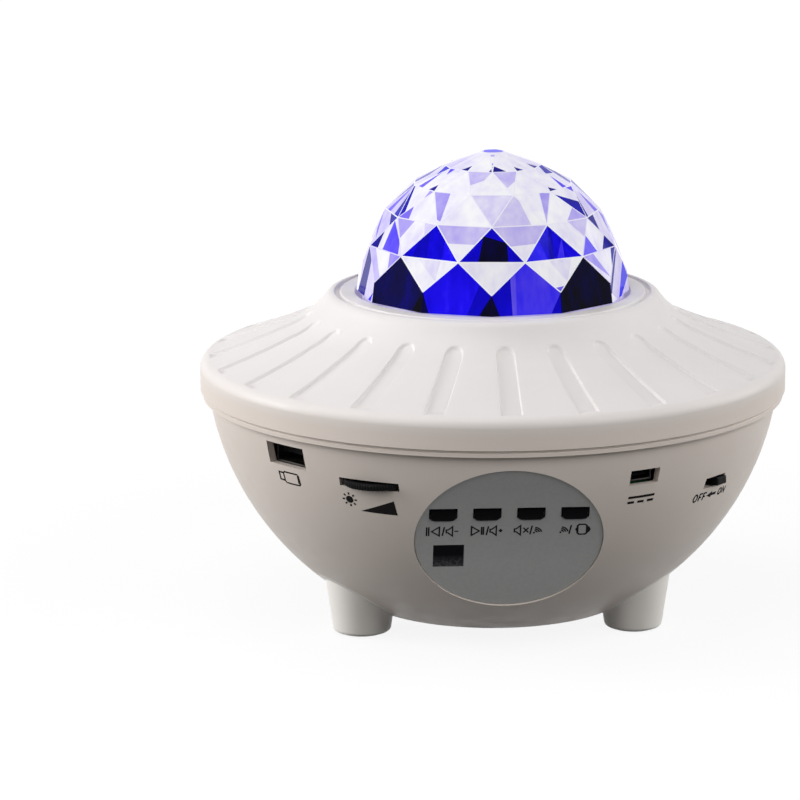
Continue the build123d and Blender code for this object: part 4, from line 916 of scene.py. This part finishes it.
def cut_glint(shape, parts, ring):
    """Cuts the parts of a facet by planes from the dome's middle through a glint's sides."""
    middle = Vector((0, 0, parting_z + settings("casing").collar_rise))
    for start, end in zip(ring, ring[1:] + ring[:1]):
        side = (start - middle).cross(end - middle).normalized()
        geometry = set(parts)
        for part in parts:
            geometry.update(part.edges)
            geometry.update(part.verts)
        cut = bmesh.ops.bisect_plane(shape, geom=list(geometry), dist=1e-7, plane_co=middle, plane_no=side)
        faces = [g for g in cut["geom"] if isinstance(g, bmesh.types.BMFace)]
        parts = [face for face in faces if (face.calc_center_median() - middle).dot(side) > 0]
    return parts


def quarter_round(radius, centre_z, steps=24):
    """Radius and height along a quarter circle, from its top down to the level of its middle."""
    points = []
    for i in range(steps + 1):
        turn = math.pi / 2 * i / steps
        points.append((max(2 * AXIS_GAP, radius * math.sin(turn)), centre_z + radius * math.cos(turn)))
    return points


def inside_of_dome(shape, tint):
    """The smooth inside of the dome, its skirt and its clamping flange, as one closed turning."""
    sizes = settings("dome")
    foot_z = parting_z + settings("casing").collar_rise
    bore = sizes.radius * math.cos(math.pi / sizes.sides) - sizes.wall
    skirt = bore + sizes.wall
    low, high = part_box("faceted_dome")
    flange_top = low.z + DOME_FLANGE_THICKNESS
    outline = quarter_round(bore, foot_z)
    outline += [(bore, low.z), (high.x, low.z), (high.x, flange_top), (skirt, flange_top)]
    outline += [(skirt, foot_z + DOME_SKIN)]
    outline += reversed(quarter_round(bore + DOME_SKIN, foot_z + DOME_SKIN))
    for face in lathe(shape, outline, 72):
        colour_face(face, tint, DOME_INSIDE_TINT)


# Colours of the dome's painted light by tint, as screen values.
PAINTED_LIGHT_COLOURS = (
    (0.00, (250, 250, 254)), (0.05, (240, 238, 252)), (0.12, (216, 209, 248)), (0.20, (184, 173, 245)),
    (0.33, (132, 116, 240)), (0.50, (84, 68, 250)), (0.60, (30, 12, 255)), (0.68, (10, 0, 214)),
    (0.78, (5, 0, 150)), (0.90, (3, 0, 76)), (1.00, (1, 0, 12)),
)


def dome_finish():
    """Clear faceted plastic with the blue light from inside painted on: each tint has its colour, in the
    base and in a painted glow, glossy throughout.
    """
    finish = Finish("dome_lit_facets", screen(200, 195, 245), 0.09, gloss=0.05)
    tint = finish.add("ShaderNodeVertexColor", layer_name="facet_tint")
    parts = finish.add("ShaderNodeSeparateColor")
    finish.join(tint.outputs["Color"], parts.inputs["Color"])
    cloud = finish.spread(finish.noise(150.0, 3.0, (1.0, 1.0, 0.6)), -0.035, 0.035, 0.3, 0.7)
    streak = finish.spread(finish.noise(420.0, 2.0, (1.0, 1.0, 0.25)), -0.02, 0.02, 0.3, 0.7)
    keep = finish.reckon("SUBTRACT", 1.0, parts.outputs["Green"])
    drift = finish.reckon("MULTIPLY_ADD", finish.reckon("ADD", cloud, streak), keep, parts.outputs["Red"])
    lit = finish.ramp(drift, [(place, screen(*colour)) for place, colour in PAINTED_LIGHT_COLOURS])
    finish.join(finish.blend(0.38, lit, (0.0, 0.0, 0.0)), finish.shader.inputs["Base Color"])
    # Painted glow: the facets give out their painted light though the dome is no lamp
    finish.join(lit, finish.shader.inputs["Emission Color"])
    finish.put("Emission Strength", 0.34)
    return finish


# ---------------------------------------------------------------- printed marks
class Drawing:
    """A flat drawing of lines and filled shapes, to be printed on a face."""

    def __init__(self, width):
        self.width = width
        self.shapes = []

    def fill(self, points):
        """A filled convex shape, drawn counter-clockwise."""
        self.shapes.append([tuple(p) for p in points])
        return self

    def line(self, points, closed=False, width=None):
        """A line of even width with mitred corners."""
        half = (width or self.width) / 2
        track = [Vector(p) for p in points]
        count = len(track)
        sides = []
        for i, here in enumerate(track):
            before = track[i - 1] if closed or i else None
            after = track[(i + 1) % count] if closed or i < count - 1 else None
            first = (here - before).normalized() if before is not None else (after - here).normalized()
            second = (after - here).normalized() if after is not None else first
            normal = Vector((-(first + second).y, (first + second).x)).normalized()
            share = max(0.4, normal.dot(Vector((-first.y, first.x))))
            sides.append((here + normal * half / share, here - normal * half / share))
        steps = range(count if closed else count - 1)
        for i in steps:
            (left, right), (next_left, next_right) = sides[i], sides[(i + 1) % count]
            self.shapes.append([tuple(right), tuple(next_right), tuple(next_left), tuple(left)])
        return self

    def ring(self, centre, width, height, steps=24, line=None):
        """An oval line."""
        return self.line(oval(centre, width, height, steps), True, line)

    def disc(self, centre, radius, steps=20):
        """A filled disc."""
        return self.fill(oval(centre, radius, radius, steps))

    def curve(self, centre, radius, start, end, steps=10):
        """Part of a circle between two angles in degrees."""
        points = []
        for i in range(steps + 1):
            turn = math.radians(start + (end - start) * i / steps)
            points.append((centre[0] + radius * math.cos(turn), centre[1] + radius * math.sin(turn)))
        return self.line(points)

    def print_on(self, name, place):
        """Makes the drawing a thin piece of ink; place puts its points on a face."""
        ink = settings("panel").ink

        def build(shape):
            for outline in self.shapes:
                top = [shape.verts.new((x, y, ink)) for x, y in outline]
                base = [shape.verts.new((x, y, -ink)) for x, y in outline]
                shape.faces.new(top)
                shape.faces.new(list(reversed(base)))
                for i in range(len(outline)):
                    after = (i + 1) % len(outline)
                    shape.faces.new((base[i], base[after], top[after], top[i]))
            self.cut_small(shape)
            for corner in shape.verts:
                corner.co = place(*corner.co)

        return piece(name, mesh_of(name, build), ink_finish())

    def cut_small(self, shape):
        """Cuts the flat drawing into small cells, so that it can follow a curved face."""
        cell = 0.0012
        for axis in (Vector((1, 0, 0)), Vector((0, 1, 0))):
            reach = max(abs(corner.co.dot(axis)) for corner in shape.verts)
            for step in range(-int(reach / cell), int(reach / cell) + 1):
                everything = list(shape.verts) + list(shape.edges) + list(shape.faces)
                bmesh.ops.bisect_plane(shape, geom=everything, dist=1e-7, plane_co=axis * cell * step,
                                       plane_no=axis)


inks = {}


def ink_finish():
    """Screen-printed black, one material for all marks."""
    if "ink" not in inks:
        finish = Finish("ink_soft_black", settings("colours").ink, 0.6, gloss=0.06)
        inks["ink"] = finish.mottle(0.3, 1500.0).grain(3000.0, 0.000004)
    return inks["ink"]


def triangle(draw, tip, base, height):
    """Outline triangle that points from its upright base to its tip."""
    draw.line([(tip[0], tip[1]), (base, tip[1] + height / 2), (base, tip[1] - height / 2)], True)


def loudspeaker(draw, x, y, size):
    """Small loudspeaker sign: a magnet box and a horn."""
    draw.line([(x, y - size * 0.16), (x, y + size * 0.16), (x + size * 0.14, y + size * 0.16),
               (x + size * 0.50, y + size * 0.53), (x + size * 0.50, y - size * 0.53),
               (x + size * 0.14, y - size * 0.16)], True)


def slash(draw, x, y, size):
    """Stroke between two signs."""
    draw.line([(x - size * 0.08, y - size * 0.5), (x + size * 0.08, y + size * 0.5)])


def waves(draw, x, y):
    """Radio sign: a dot and three arcs."""
    draw.disc((x, y), 0.0003)
    for radius in (0.0008, 0.0014, 0.0020):
        draw.curve((x, y), radius, 8, 82)


def bar(draw, x, y, size):
    """Upright stroke."""
    draw.line([(x, y - size / 2), (x, y + size / 2)])


# ---------------------------------------------------------------- camera and light
# Each lamp's name, the setting of its power and its place.
LAMPS = (
    ("lamp_overhead", "over_power", (-0.20, -0.20, 1.20)),
    ("lamp_left", "left_power", (-1.20, 0.15, 0.45)),
    ("lamp_right", "right_power", (1.20, 0.25, 0.40)),
    ("lamp_front_left", "front_left_power", (-0.75, -0.85, 0.75)),
    ("lamp_front_right", "front_right_power", (0.75, -0.85, 0.75)),
)
FLOOR_GAP = 0.0002              # foot pads to the floor
FLOOR_GLOW = (0.89, 1.0)        # how white the floor looks near the feet and far from them
FLOOR_FADE = (0.15, 0.9)        # where the one ends and the other starts


def seen_directly(tree):
    """One for rays from the camera, from gloss and through clear pieces."""
    path = tree.nodes.new("ShaderNodeLightPath")
    total = path.outputs["Is Camera Ray"]
    for name in ("Is Glossy Ray", "Is Transmission Ray"):
        node = tree.nodes.new("ShaderNodeMath")
        node.operation = "MAXIMUM"
        tree.links.new(total, node.inputs[0])
        tree.links.new(path.outputs[name], node.inputs[1])
        total = node.outputs[0]
    return total


class PROJECTOR_OT_stage(bpy.types.Operator):
    """Camera, soft overhead lamp, even fill and a pale floor"""

    bl_idname = "projector.stage"
    bl_label = "Set the stage"

    def execute(self, context):
        studio = settings("studio")
        scene = context.scene
        scene.view_settings.view_transform = "Standard"
        camera = bpy.data.cameras.new("camera")
        camera.lens = studio.lens
        camera.shift_x = studio.shift_right
        camera.shift_y = studio.shift_up
        camera.clip_start = 0.01
        eye = bpy.data.objects.new("camera", camera)
        a, e = studio.azimuth, studio.elevation
        back = Vector((math.sin(a) * math.cos(e), -math.cos(a) * math.cos(e), math.sin(e)))
        eye.location = Vector((0, 0, studio.aim_height)) + back * studio.distance
        eye.rotation_euler = (-back).to_track_quat("-Z", "Y").to_euler()
        scene.collection.objects.link(eye)
        scene.camera = eye
        for name, strength, place in LAMPS:
            self.add_lamp(scene, studio, name, getattr(studio, strength), place)
        self.add_floor(scene, studio)
        self.set_world(scene, studio)
        return {"FINISHED"}

    def add_lamp(self, scene, studio, name, power, place):
        """Large soft lamp that faces the projector."""
        lamp = bpy.data.lights.new(name, "AREA")
        lamp.energy = power
        lamp.size = studio.lamp_size
        thing = bpy.data.objects.new(name, lamp)
        thing.location = place
        aim = Vector((0, 0, studio.aim_height)) - thing.location
        thing.rotation_euler = aim.to_track_quat("-Z", "Y").to_euler()
        scene.collection.objects.link(thing)

    def add_floor(self, scene, studio):
        """Pale floor that the camera sees as white, with the shadow kept."""
        half = studio.floor_size / 2
        mesh = bpy.data.meshes.new("floor")
        corners = [(-half, -half, 0), (half, -half, 0), (half, half, 0), (-half, half, 0)]
        mesh.from_pydata(corners, [], [(0, 1, 2, 3)])
        floor = bpy.data.objects.new("floor", mesh)
        floor.location.z = pad_base - FLOOR_GAP
        scene.collection.objects.link(floor)
        finish = Finish("floor_pale", (studio.floor_tone,) * 3, 0.9, gloss=0.1)
        finish.mottle(0.01, 3.0)
        glow = finish.add("ShaderNodeEmission")
        glow.inputs["Color"].default_value = (1, 1, 1, 1)
        away = finish.add("ShaderNodeVectorMath", operation="LENGTH")
        finish.join(finish.where, away.inputs[0])
        white = finish.spread(away.outputs["Value"], *FLOOR_GLOW, *FLOOR_FADE)
        finish.join(finish.reckon("MULTIPLY", white, seen_directly(finish.tree)), glow.inputs["Strength"])
        both = finish.add("ShaderNodeAddShader")
        finish.join(finish.shader.outputs[0], both.inputs[0])
        finish.join(glow.outputs[0], both.inputs[1])
        finish.join(both.outputs[0], finish.tree.nodes["Material Output"].inputs["Surface"])
        mesh.materials.append(finish.material)

    def set_world(self, scene, studio):
        """White to the eye and in gloss, and an even fill for the light."""
        world = bpy.data.worlds.new("pale_room")
        world.use_nodes = True
        scene.world = world
        tree = world.node_tree
        background = tree.nodes["Background"]
        background.inputs["Color"].default_value = (1, 1, 1, 1)
        level = tree.nodes.new("ShaderNodeMapRange")
        level.inputs["To Min"].default_value = studio.fill
        level.inputs["To Max"].default_value = 1.0
        tree.links.new(seen_directly(tree), level.inputs["Value"])
        tree.links.new(level.outputs["Result"], background.inputs["Strength"])


# ---------------------------------------------------------------- casing
class PROJECTOR_OT_casing(bpy.types.Operator):
    """The saucer lid with its soft-edged flutes, and the bowl's finish"""

    bl_idname = "projector.casing"
    bl_label = "Finish the casing"

    def execute(self, context):
        finish = casing_finish()
        piece("saucer_lid", mesh_of("saucer_lid", build_lid), finish,
              replaced=("upper_cover",))
        coat(finish, "lower_bowl")
        return {"FINISHED"}


class PROJECTOR_OT_dome(bpy.types.Operator):
    """The faceted dome with polished edges and the blue light from inside painted on"""

    bl_idname = "projector.dome"
    bl_label = "Make the dome"

    def execute(self, context):
        piece("crystal_dome", mesh_of("crystal_dome", build_dome), dome_finish(),
              replaced=("faceted_dome",), sharp=4.0)
        return {"FINISHED"}


# ---------------------------------------------------------------- panel
def key_frame(name):
    """Middle, half sizes, face and back of a key of the frame, in the panel's own directions."""
    origin = panel_point(0, 0)
    places = [v.co - origin for v in nodes[name].data.vertices]
    face = max(p.dot(panel_out) for p in places)
    back = min(p.dot(panel_out) for p in places)
    cap = [p for p in places if p.dot(panel_out) > face - 0.00001]
    wide, tall = [p.x for p in cap], [p.dot(panel_up) for p in cap]
    middle = ((min(wide) + max(wide)) / 2, (min(tall) + max(tall)) / 2)
    return middle, ((max(wide) - min(wide)) / 2, (max(tall) - min(tall)) / 2), face, back


def key_corners(half, grow=0.0):
    """Outline of a key: its lower corners are rounded off."""
    cut = settings("panel").key_cut
    wide, tall = half[0] + grow, half[1] + grow
    lower = []
    for i in range(7):
        turn = math.radians(15 * i)
        lower.append((wide - cut + cut * math.sin(turn), cut - tall - cut * math.cos(turn)))
    return [(-wide, tall)] + [(-x, y) for x, y in reversed(lower)] + lower + [(wide, tall)]


class PROJECTOR_OT_keys(bpy.types.Operator):
    """Four black keys with rounded edges, each with its stop flange and stem"""

    bl_idname = "projector.keys"
    bl_label = "Make the keys"
    stem_radius = 0.0013
    stem_length = 0.0006
    flange = 0.0010             # thickness of the stop flange
    flange_reach = 0.0010       # how far it stands out round the key

    def execute(self, context):
        finish = moulded("key_black", settings("colours").keys, 0.5, 0.2, 0.000006, 0.02)
        for name in KEYS:
            self.make_key(name, finish)
        return {"FINISHED"}

    def make_key(self, name, finish):
        """One key: cap with a rounded edge, stop flange and stem."""
        (across, row), half, face, back = key_frame(name)
        soft = settings("panel").key_round
        cap = [(0.0, back + self.stem_length + self.flange * 0.5), (0.0, face - soft)]
        for i in range(1, 5):
            turn = math.radians(22.5 * i)
            cap.append((soft * (1 - math.cos(turn)), face - soft + soft * math.sin(turn)))
        flange_back = back + self.stem_length
        stem = oval((0.0, 0.0), self.stem_radius, self.stem_radius, 24)

        def build(shape):
            add_prism(shape, [(key_corners(half, -inset), out) for inset, out in cap], across, row)
            wide = key_corners(half, self.flange_reach)
            add_prism(shape, [(wide, flange_back), (wide, flange_back + self.flange)], across, row)
            add_prism(shape, [(stem, back), (stem, flange_back + self.flange * 0.2)], across, row)
            bmesh.ops.recalc_face_normals(shape, faces=shape.faces)

        piece(name + "_cap", mesh_of(name, build), finish, name, (name,))


def add_prism(shape, layers, across, up):
    """Closed prism through outlines that stand at places along the panel's normal."""
    rings = []
    for outline, out in layers:
        rings.append([shape.verts.new(panel_point(across + x, up + y, out)) for x, y in outline])
    grid_faces(shape, rings)
    shape.faces.new(list(reversed(rings[0])))
    shape.faces.new(rings[-1])


class PROJECTOR_OT_panel(bpy.types.Operator):
    """Grey plate, receiver window and the printed signs"""

    bl_idname = "projector.panel"
    bl_label = "Finish the panel"

    def execute(self, context):
        coat(panel_finish(), "control_panel")
        coat(window_finish(), "receiver_window")
        self.print_signs()
        return {"FINISHED"}

    def print_signs(self):
        """Signs under the keys: track and volume, play and volume, mute and radio, source."""
        sizes = settings("panel")
        y = sizes.sign_row
        tall = 0.0033

        draw = Drawing(sizes.line)
        bar(draw, -0.0221, y, tall)
        bar(draw, -0.02153, y, tall)
        triangle(draw, (-0.02080, y), -0.01870, tall)
        slash(draw, -0.01762, y, tall)
        loudspeaker(draw, -0.01682, y, tall)
        draw.line([(-0.0147, y), (-0.0136, y)])
        draw.print_on("sign_previous", panel_point)

        draw = Drawing(sizes.line)
        triangle(draw, (-0.0080, y), -0.0101, tall)
        bar(draw, -0.00738, y, tall * 0.9)
        bar(draw, -0.00688, y, tall * 0.9)
        slash(draw, -0.00583, y, tall)
        loudspeaker(draw, -0.0051, y, tall)
        draw.line([(-0.0028, y), (-0.0018, y)], False, sizes.line * 1.2)
        draw.line([(-0.0023, y - 0.0006), (-0.0023, y + 0.0006)], False, sizes.line * 1.2)
        draw.print_on("sign_play", panel_point)

        draw = Drawing(sizes.line)
        loudspeaker(draw, 0.0014, y, tall)
        draw.line([(0.0038, y - 0.0009), (0.0052, y + 0.0009)])
        draw.line([(0.0038, y + 0.0009), (0.0052, y - 0.0009)])
        slash(draw, 0.00588, y, tall)
        waves(draw, 0.0067, y - 0.0010)
        draw.print_on("sign_mute", panel_point)

        draw = Drawing(sizes.line)
        waves(draw, 0.0138, y - 0.0010)
        slash(draw, 0.01638, y, tall)
        self.round_lamp(draw, 0.0196, y)
        draw.print_on("sign_source", panel_point)

    def round_lamp(self, draw, x, y):
        """Sign of a lamp: a rounded box with a dark wing on each side."""
        wide, tall, cut = 0.00125, 0.00185, 0.0005
        box = [(x - wide + cut, y - tall), (x + wide - cut, y - tall), (x + wide, y - tall + cut),
               (x + wide, y + tall - cut), (x + wide - cut, y + tall), (x - wide + cut, y + tall),
               (x - wide, y + tall - cut), (x - wide, y - tall + cut)]
        draw.line(box, True, draw.width * 1.2)
        for side, reach, half in ((-1, 0.0019, 0.0011), (1, 0.0023, 0.0013)):
            wing = [(x + side * wide, y - half), (x + side * (reach - 0.0004), y - half * 0.75),
                    (x + side * reach, y), (x + side * (reach - 0.0004), y + half * 0.75),
                    (x + side * wide, y + half)]
            draw.fill(wing if side > 0 else list(reversed(wing)))


# ---------------------------------------------------------------- marks on the bowl
class PROJECTOR_OT_bowl_marks(bpy.types.Operator):
    """Generic printed signs on the bowl's wall"""

    bl_idname = "projector.bowl_marks"
    bl_label = "Print the bowl's marks"

    def execute(self, context):
        line = settings("panel").line
        self.memory_stick(line)
        self.brightness(line)
        self.direct_current(line)
        self.off_on(line)
        return {"FINISHED"}

    def memory_stick(self, line):
        """Outline of a memory stick below the media socket."""
        draw = Drawing(line)
        left, right, low, high, cut = -0.0030, 0.0030, -0.0016, 0.0018, 0.0005
        draw.line([(left + cut, low), (right - cut, low), (right, low + cut), (right, high - cut),
                   (right - cut, high), (left + cut, high), (left, high - cut), (left, low + cut)], True)
        draw.line([(right - 0.0003, low + cut), (right - 0.0003, high - cut)], False, line * 1.7)
        draw.line([(left, 0.0014), (left - 0.0018, 0.0014), (left - 0.0018, -0.0009), (left, -0.0009)],
                  False, line * 1.2)
        draw.print_on("mark_memory_stick", bowl_place(-48.4, 0.0513))

    def brightness(self, line):
        """Sun and wedge below the dial."""
        draw = Drawing(line * 1.1)
        draw.disc((0, 0), 0.00112)
        for i in range(8):
            turn = math.radians(45 * i)
            way = Vector((math.cos(turn), math.sin(turn)))
            draw.line([way * 0.0015, way * 0.0022])
        draw.print_on("mark_sun", bowl_place(-33.86, 0.0485))
        wedge = Drawing(line)
        wedge.fill([(-0.0055, -0.0022), (0.0053, -0.0024), (0.0049, 0.0021)])
        wedge.print_on("mark_wedge", bowl_place(-27.5, 0.0474))

    def direct_current(self, line):
        """Direct-current sign below the power socket: a line over three dashes."""
        draw = Drawing(line * 1.7)
        draw.line([(-0.0042, 0.0008), (0.0042, 0.0008)])
        for place in (-0.0031, 0.0, 0.0031):
            draw.line([(place - 0.0010, -0.0008), (place + 0.0010, -0.0008)])
        draw.print_on("mark_direct_current", bowl_place(27.7, 0.0484))

    def off_on(self, line):
        """OFF, an arrow and ON below the slider."""
        draw = Drawing(line * 1.15)
        tall = 0.00115
        draw.ring((-0.0072, 0), 0.00075, tall)
        for start in (-0.0056, -0.0038):
            draw.line([(start, -tall), (start, tall), (start + 0.0012, tall)])
            draw.line([(start, 0.0), (start + 0.0009, 0.0)])
        draw.fill([(-0.0023, 0.0), (0.0001, -0.0010), (0.0001, 0.0010)])
        draw.fill([(0.0001, -0.00045), (0.0023, -0.00045), (0.0023, 0.00045), (0.0001, 0.00045)])
        tall = 0.0010
        draw.ring((0.0043, 0), 0.00070, tall)
        draw.line([(0.0057, -tall), (0.0057, tall), (0.0070, -tall), (0.0070, tall)], False, line * 0.9)
        draw.print_on("mark_off_on", bowl_place(49.2, 0.0446))


# ---------------------------------------------------------------- wall controls
class PROJECTOR_OT_dial(bpy.types.Operator):
    """Brightness dial with a knurled, bevelled edge"""

    bl_idname = "projector.dial"
    bl_label = "Make the dial"
    notches = 72
    notch_depth = 0.00022
    bore = 0.00155
    bevel = 0.0003
    tread = 0.0012              # width of the notched ring
    recess = 0.0002             # depth of the dished upper face

    def execute(self, context):
        low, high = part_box("brightness_dial")
        middle = (low + high) / 2
        radius = (high.x - low.x) / 2
        inner, web, dished = radius - self.tread, radius * 0.82, high.z - self.recess
        outline = [(self.bore, low.z), (web, low.z), (inner, low.z), (radius - self.bevel, low.z),
                   (radius, low.z + self.bevel), (radius, high.z - self.bevel),
                   (radius - self.bevel, high.z), (inner, high.z), (web, high.z),
                   (radius * 0.80, dished), (self.bore, dished)]

        def build(shape):
            steps = self.notches * 6
            rows = []
            for reach, z in outline:
                ring = []
                for i in range(steps):
                    turn = 2 * math.pi * i / steps
                    wave = 0.5 - 0.5 * math.cos(turn * self.notches)
                    out = reach - self.notch_depth * wave ** 2 if reach > inner else reach
                    ring.append(shape.verts.new((
                        middle.x + out * math.cos(turn), middle.y + out * math.sin(turn), z)))
                rows.append(ring)
            grid_faces(shape, rows, True)
            bmesh.ops.recalc_face_normals(shape, faces=shape.faces)

        finish = moulded("dial_black", settings("colours").keys, 0.5, 0.2, 0.000008, 0.08)
        piece("knurled_dial", mesh_of("knurled_dial", build), finish, "brightness_dial",
              ("brightness_dial",), 40.0)
        return {"FINISHED"}


class PROJECTOR_OT_slider(bpy.types.Operator):
    """Slide knob of the power switch"""

    bl_idname = "projector.slider"
    bl_label = "Finish the slider"

    def execute(self, context):
        finish = moulded("slider_black", settings("colours").keys, 0.5, 0.2, 0.000008, 0.08)
        coat(finish, "power_slider")
        return {"FINISHED"}


class PROJECTOR_OT_sockets(bpy.types.Operator):
    """Finishes of the socket shells and tongues"""

    bl_idname = "projector.sockets"
    bl_label = "Finish the sockets"

    def execute(self, context):
        shell = metal("socket_plated_steel", screen(70, 68, 66), 0.4)
        tongue = moulded("socket_black_tongue", screen(10, 10, 11), 0.6, 0.1, 0.000006, 0.04)
        coat(shell, "usb_shell", "power_shell")
        coat(tongue, "usb_tongue", "power_tongue")
        return {"FINISHED"}


class PROJECTOR_OT_underside(bpy.types.Operator):
    """Foot pads and case screws"""

    bl_idname = "projector.underside"
    bl_label = "Finish the underside"

    def execute(self, context):
        rubber = moulded("pad_rubber", settings("colours").rubber, 0.8, 0.1, 0.00003, 0.2)
        steel = metal("screw_steel", settings("colours").steel, 0.3)
        coat(rubber, "foot_pads")
        coat(steel, "case_screws", "lamp_screws", "key_screws", "board_screws", "speaker_screws")
        return {"FINISHED"}


class PROJECTOR_OT_lamp_unit(bpy.types.Operator):
    """Finishes of the lamp, laser, ripple disc and motor"""

    bl_idname = "projector.lamp_unit"
    bl_label = "Finish the lamp unit"

    def execute(self, context):
        colours = settings("colours")
        black = moulded("carrier_black", screen(26, 26, 28), 0.5, 0.08, 0.00001, 0.3)
        steel = metal("pin_steel", colours.steel, 0.22)
        coat(black, "dome_ring", "lamp_cup")
        coat(steel, "disc_axle", "axle_clip", "motor_shaft")
        coat(metal("motor_can", screen(150, 152, 156), 0.35), "gear_motor")
        coat(clear_finish("disc_rippled_clear", screen(214, 222, 250), 0.0006), "wave_disc")
        coat(clear_finish("grating_clear", screen(226, 228, 236), 0.00002), "star_grating")
        coat(moulded("gear_white", screen(232, 231, 226), 0.4, 0.03), "drive_gear")
        coat(metal("sink_aluminium", screen(196, 198, 202), 0.4, (1.0, 8.0, 1.0)), "heat_sink")
        coat(circuit_finish("lamp_board_white", screen(226, 228, 226)), "led_board")
        coat(glow_finish(), "led_emitters")
        coat(metal("reflector_chrome", screen(228, 228, 230), 0.12), "reflector")
        coat(metal("laser_brass", colours.brass, 0.28), "laser_module")
        return {"FINISHED"}


class PROJECTOR_OT_electronics(bpy.types.Operator):
    """Finishes of the circuit boards and what they carry"""

    bl_idname = "projector.electronics"
    bl_label = "Finish the electronics"

    def execute(self, context):
        board = circuit_finish("board_green", settings("colours").board)
        parts = moulded("component_black", screen(30, 30, 32), 0.45, 0.1, 0.00001, 0.35)
        coat(board, "key_board", "main_board")
        coat(parts, "key_switches", "board_parts", "infrared_receiver", "dial_resistor", "dial_cap",
             "slide_switch")
        return {"FINISHED"}


class PROJECTOR_OT_speaker(bpy.types.Operator):
    """Finishes of the speaker"""

    bl_idname = "projector.speaker"
    bl_label = "Finish the speaker"

    def execute(self, context):
        rubber = moulded("surround_rubber", screen(26, 26, 27), 0.6, 0.08, 0.00001, 0.3)
        paper = moulded("cone_paper", screen(38, 37, 36), 0.85, 0.15, 0.00005, 0.1)
        ferrite = moulded("magnet_ferrite", screen(52, 52, 55), 0.6, 0.1, 0.00003, 0.3)
        coat(metal("basket_steel", screen(150, 150, 152), 0.4), "speaker_frame")
        coat(ferrite, "speaker_magnet")
        coat(paper, "speaker_cone")
        coat(rubber, "speaker_surround")
        return {"FINISHED"}


class PROJECTOR_PT_sidebar(bpy.types.Panel):
    """Lists the projector's steps in the 3D view's sidebar"""

    bl_idname = "PROJECTOR_PT_sidebar"
    bl_label = "Projector"
    bl_space_type = "VIEW_3D"
    bl_region_type = "UI"
    bl_category = "Projector"

    def draw(self, context):
        for operator in OPERATORS:
            self.layout.operator(operator.bl_idname)
        for name in GROUPS:
            group = getattr(context.scene, name)
            box = self.layout.box()
            for item in group.__annotations__:
                box.prop(group, item)


OPERATORS = (
    PROJECTOR_OT_stage,
    PROJECTOR_OT_casing,
    PROJECTOR_OT_dome,
    PROJECTOR_OT_panel,
    PROJECTOR_OT_keys,
    PROJECTOR_OT_bowl_marks,
    PROJECTOR_OT_dial,
    PROJECTOR_OT_slider,
    PROJECTOR_OT_sockets,
    PROJECTOR_OT_underside,
    PROJECTOR_OT_lamp_unit,
    PROJECTOR_OT_electronics,
    PROJECTOR_OT_speaker,
)


def register():
    """Adds the classes and the scene's settings."""
    for group in GROUPS.values():
        bpy.utils.register_class(group)
    for name, group in GROUPS.items():
        setattr(bpy.types.Scene, name, bpy.props.PointerProperty(type=group))
    for operator in OPERATORS:
        bpy.utils.register_class(operator)
    bpy.utils.register_class(PROJECTOR_PT_sidebar)


def unregister():
    """Takes the classes and settings away again."""
    bpy.utils.unregister_class(PROJECTOR_PT_sidebar)
    for operator in reversed(OPERATORS):
        bpy.utils.unregister_class(operator)
    for name, group in GROUPS.items():
        delattr(bpy.types.Scene, name)
        bpy.utils.unregister_class(group)


def main():
    """Makes the whole projector and its stage."""
    register()
    bpy.ops.projector.stage()
    bpy.ops.projector.casing()
    bpy.ops.projector.dome()
    bpy.ops.projector.panel()
    bpy.ops.projector.keys()
    bpy.ops.projector.bowl_marks()
    bpy.ops.projector.dial()
    bpy.ops.projector.slider()
    bpy.ops.projector.sockets()
    bpy.ops.projector.underside()
    bpy.ops.projector.lamp_unit()
    bpy.ops.projector.electronics()
    bpy.ops.projector.speaker()
    bpy.context.view_layer.update()


if __name__ == "__main__":
    main()
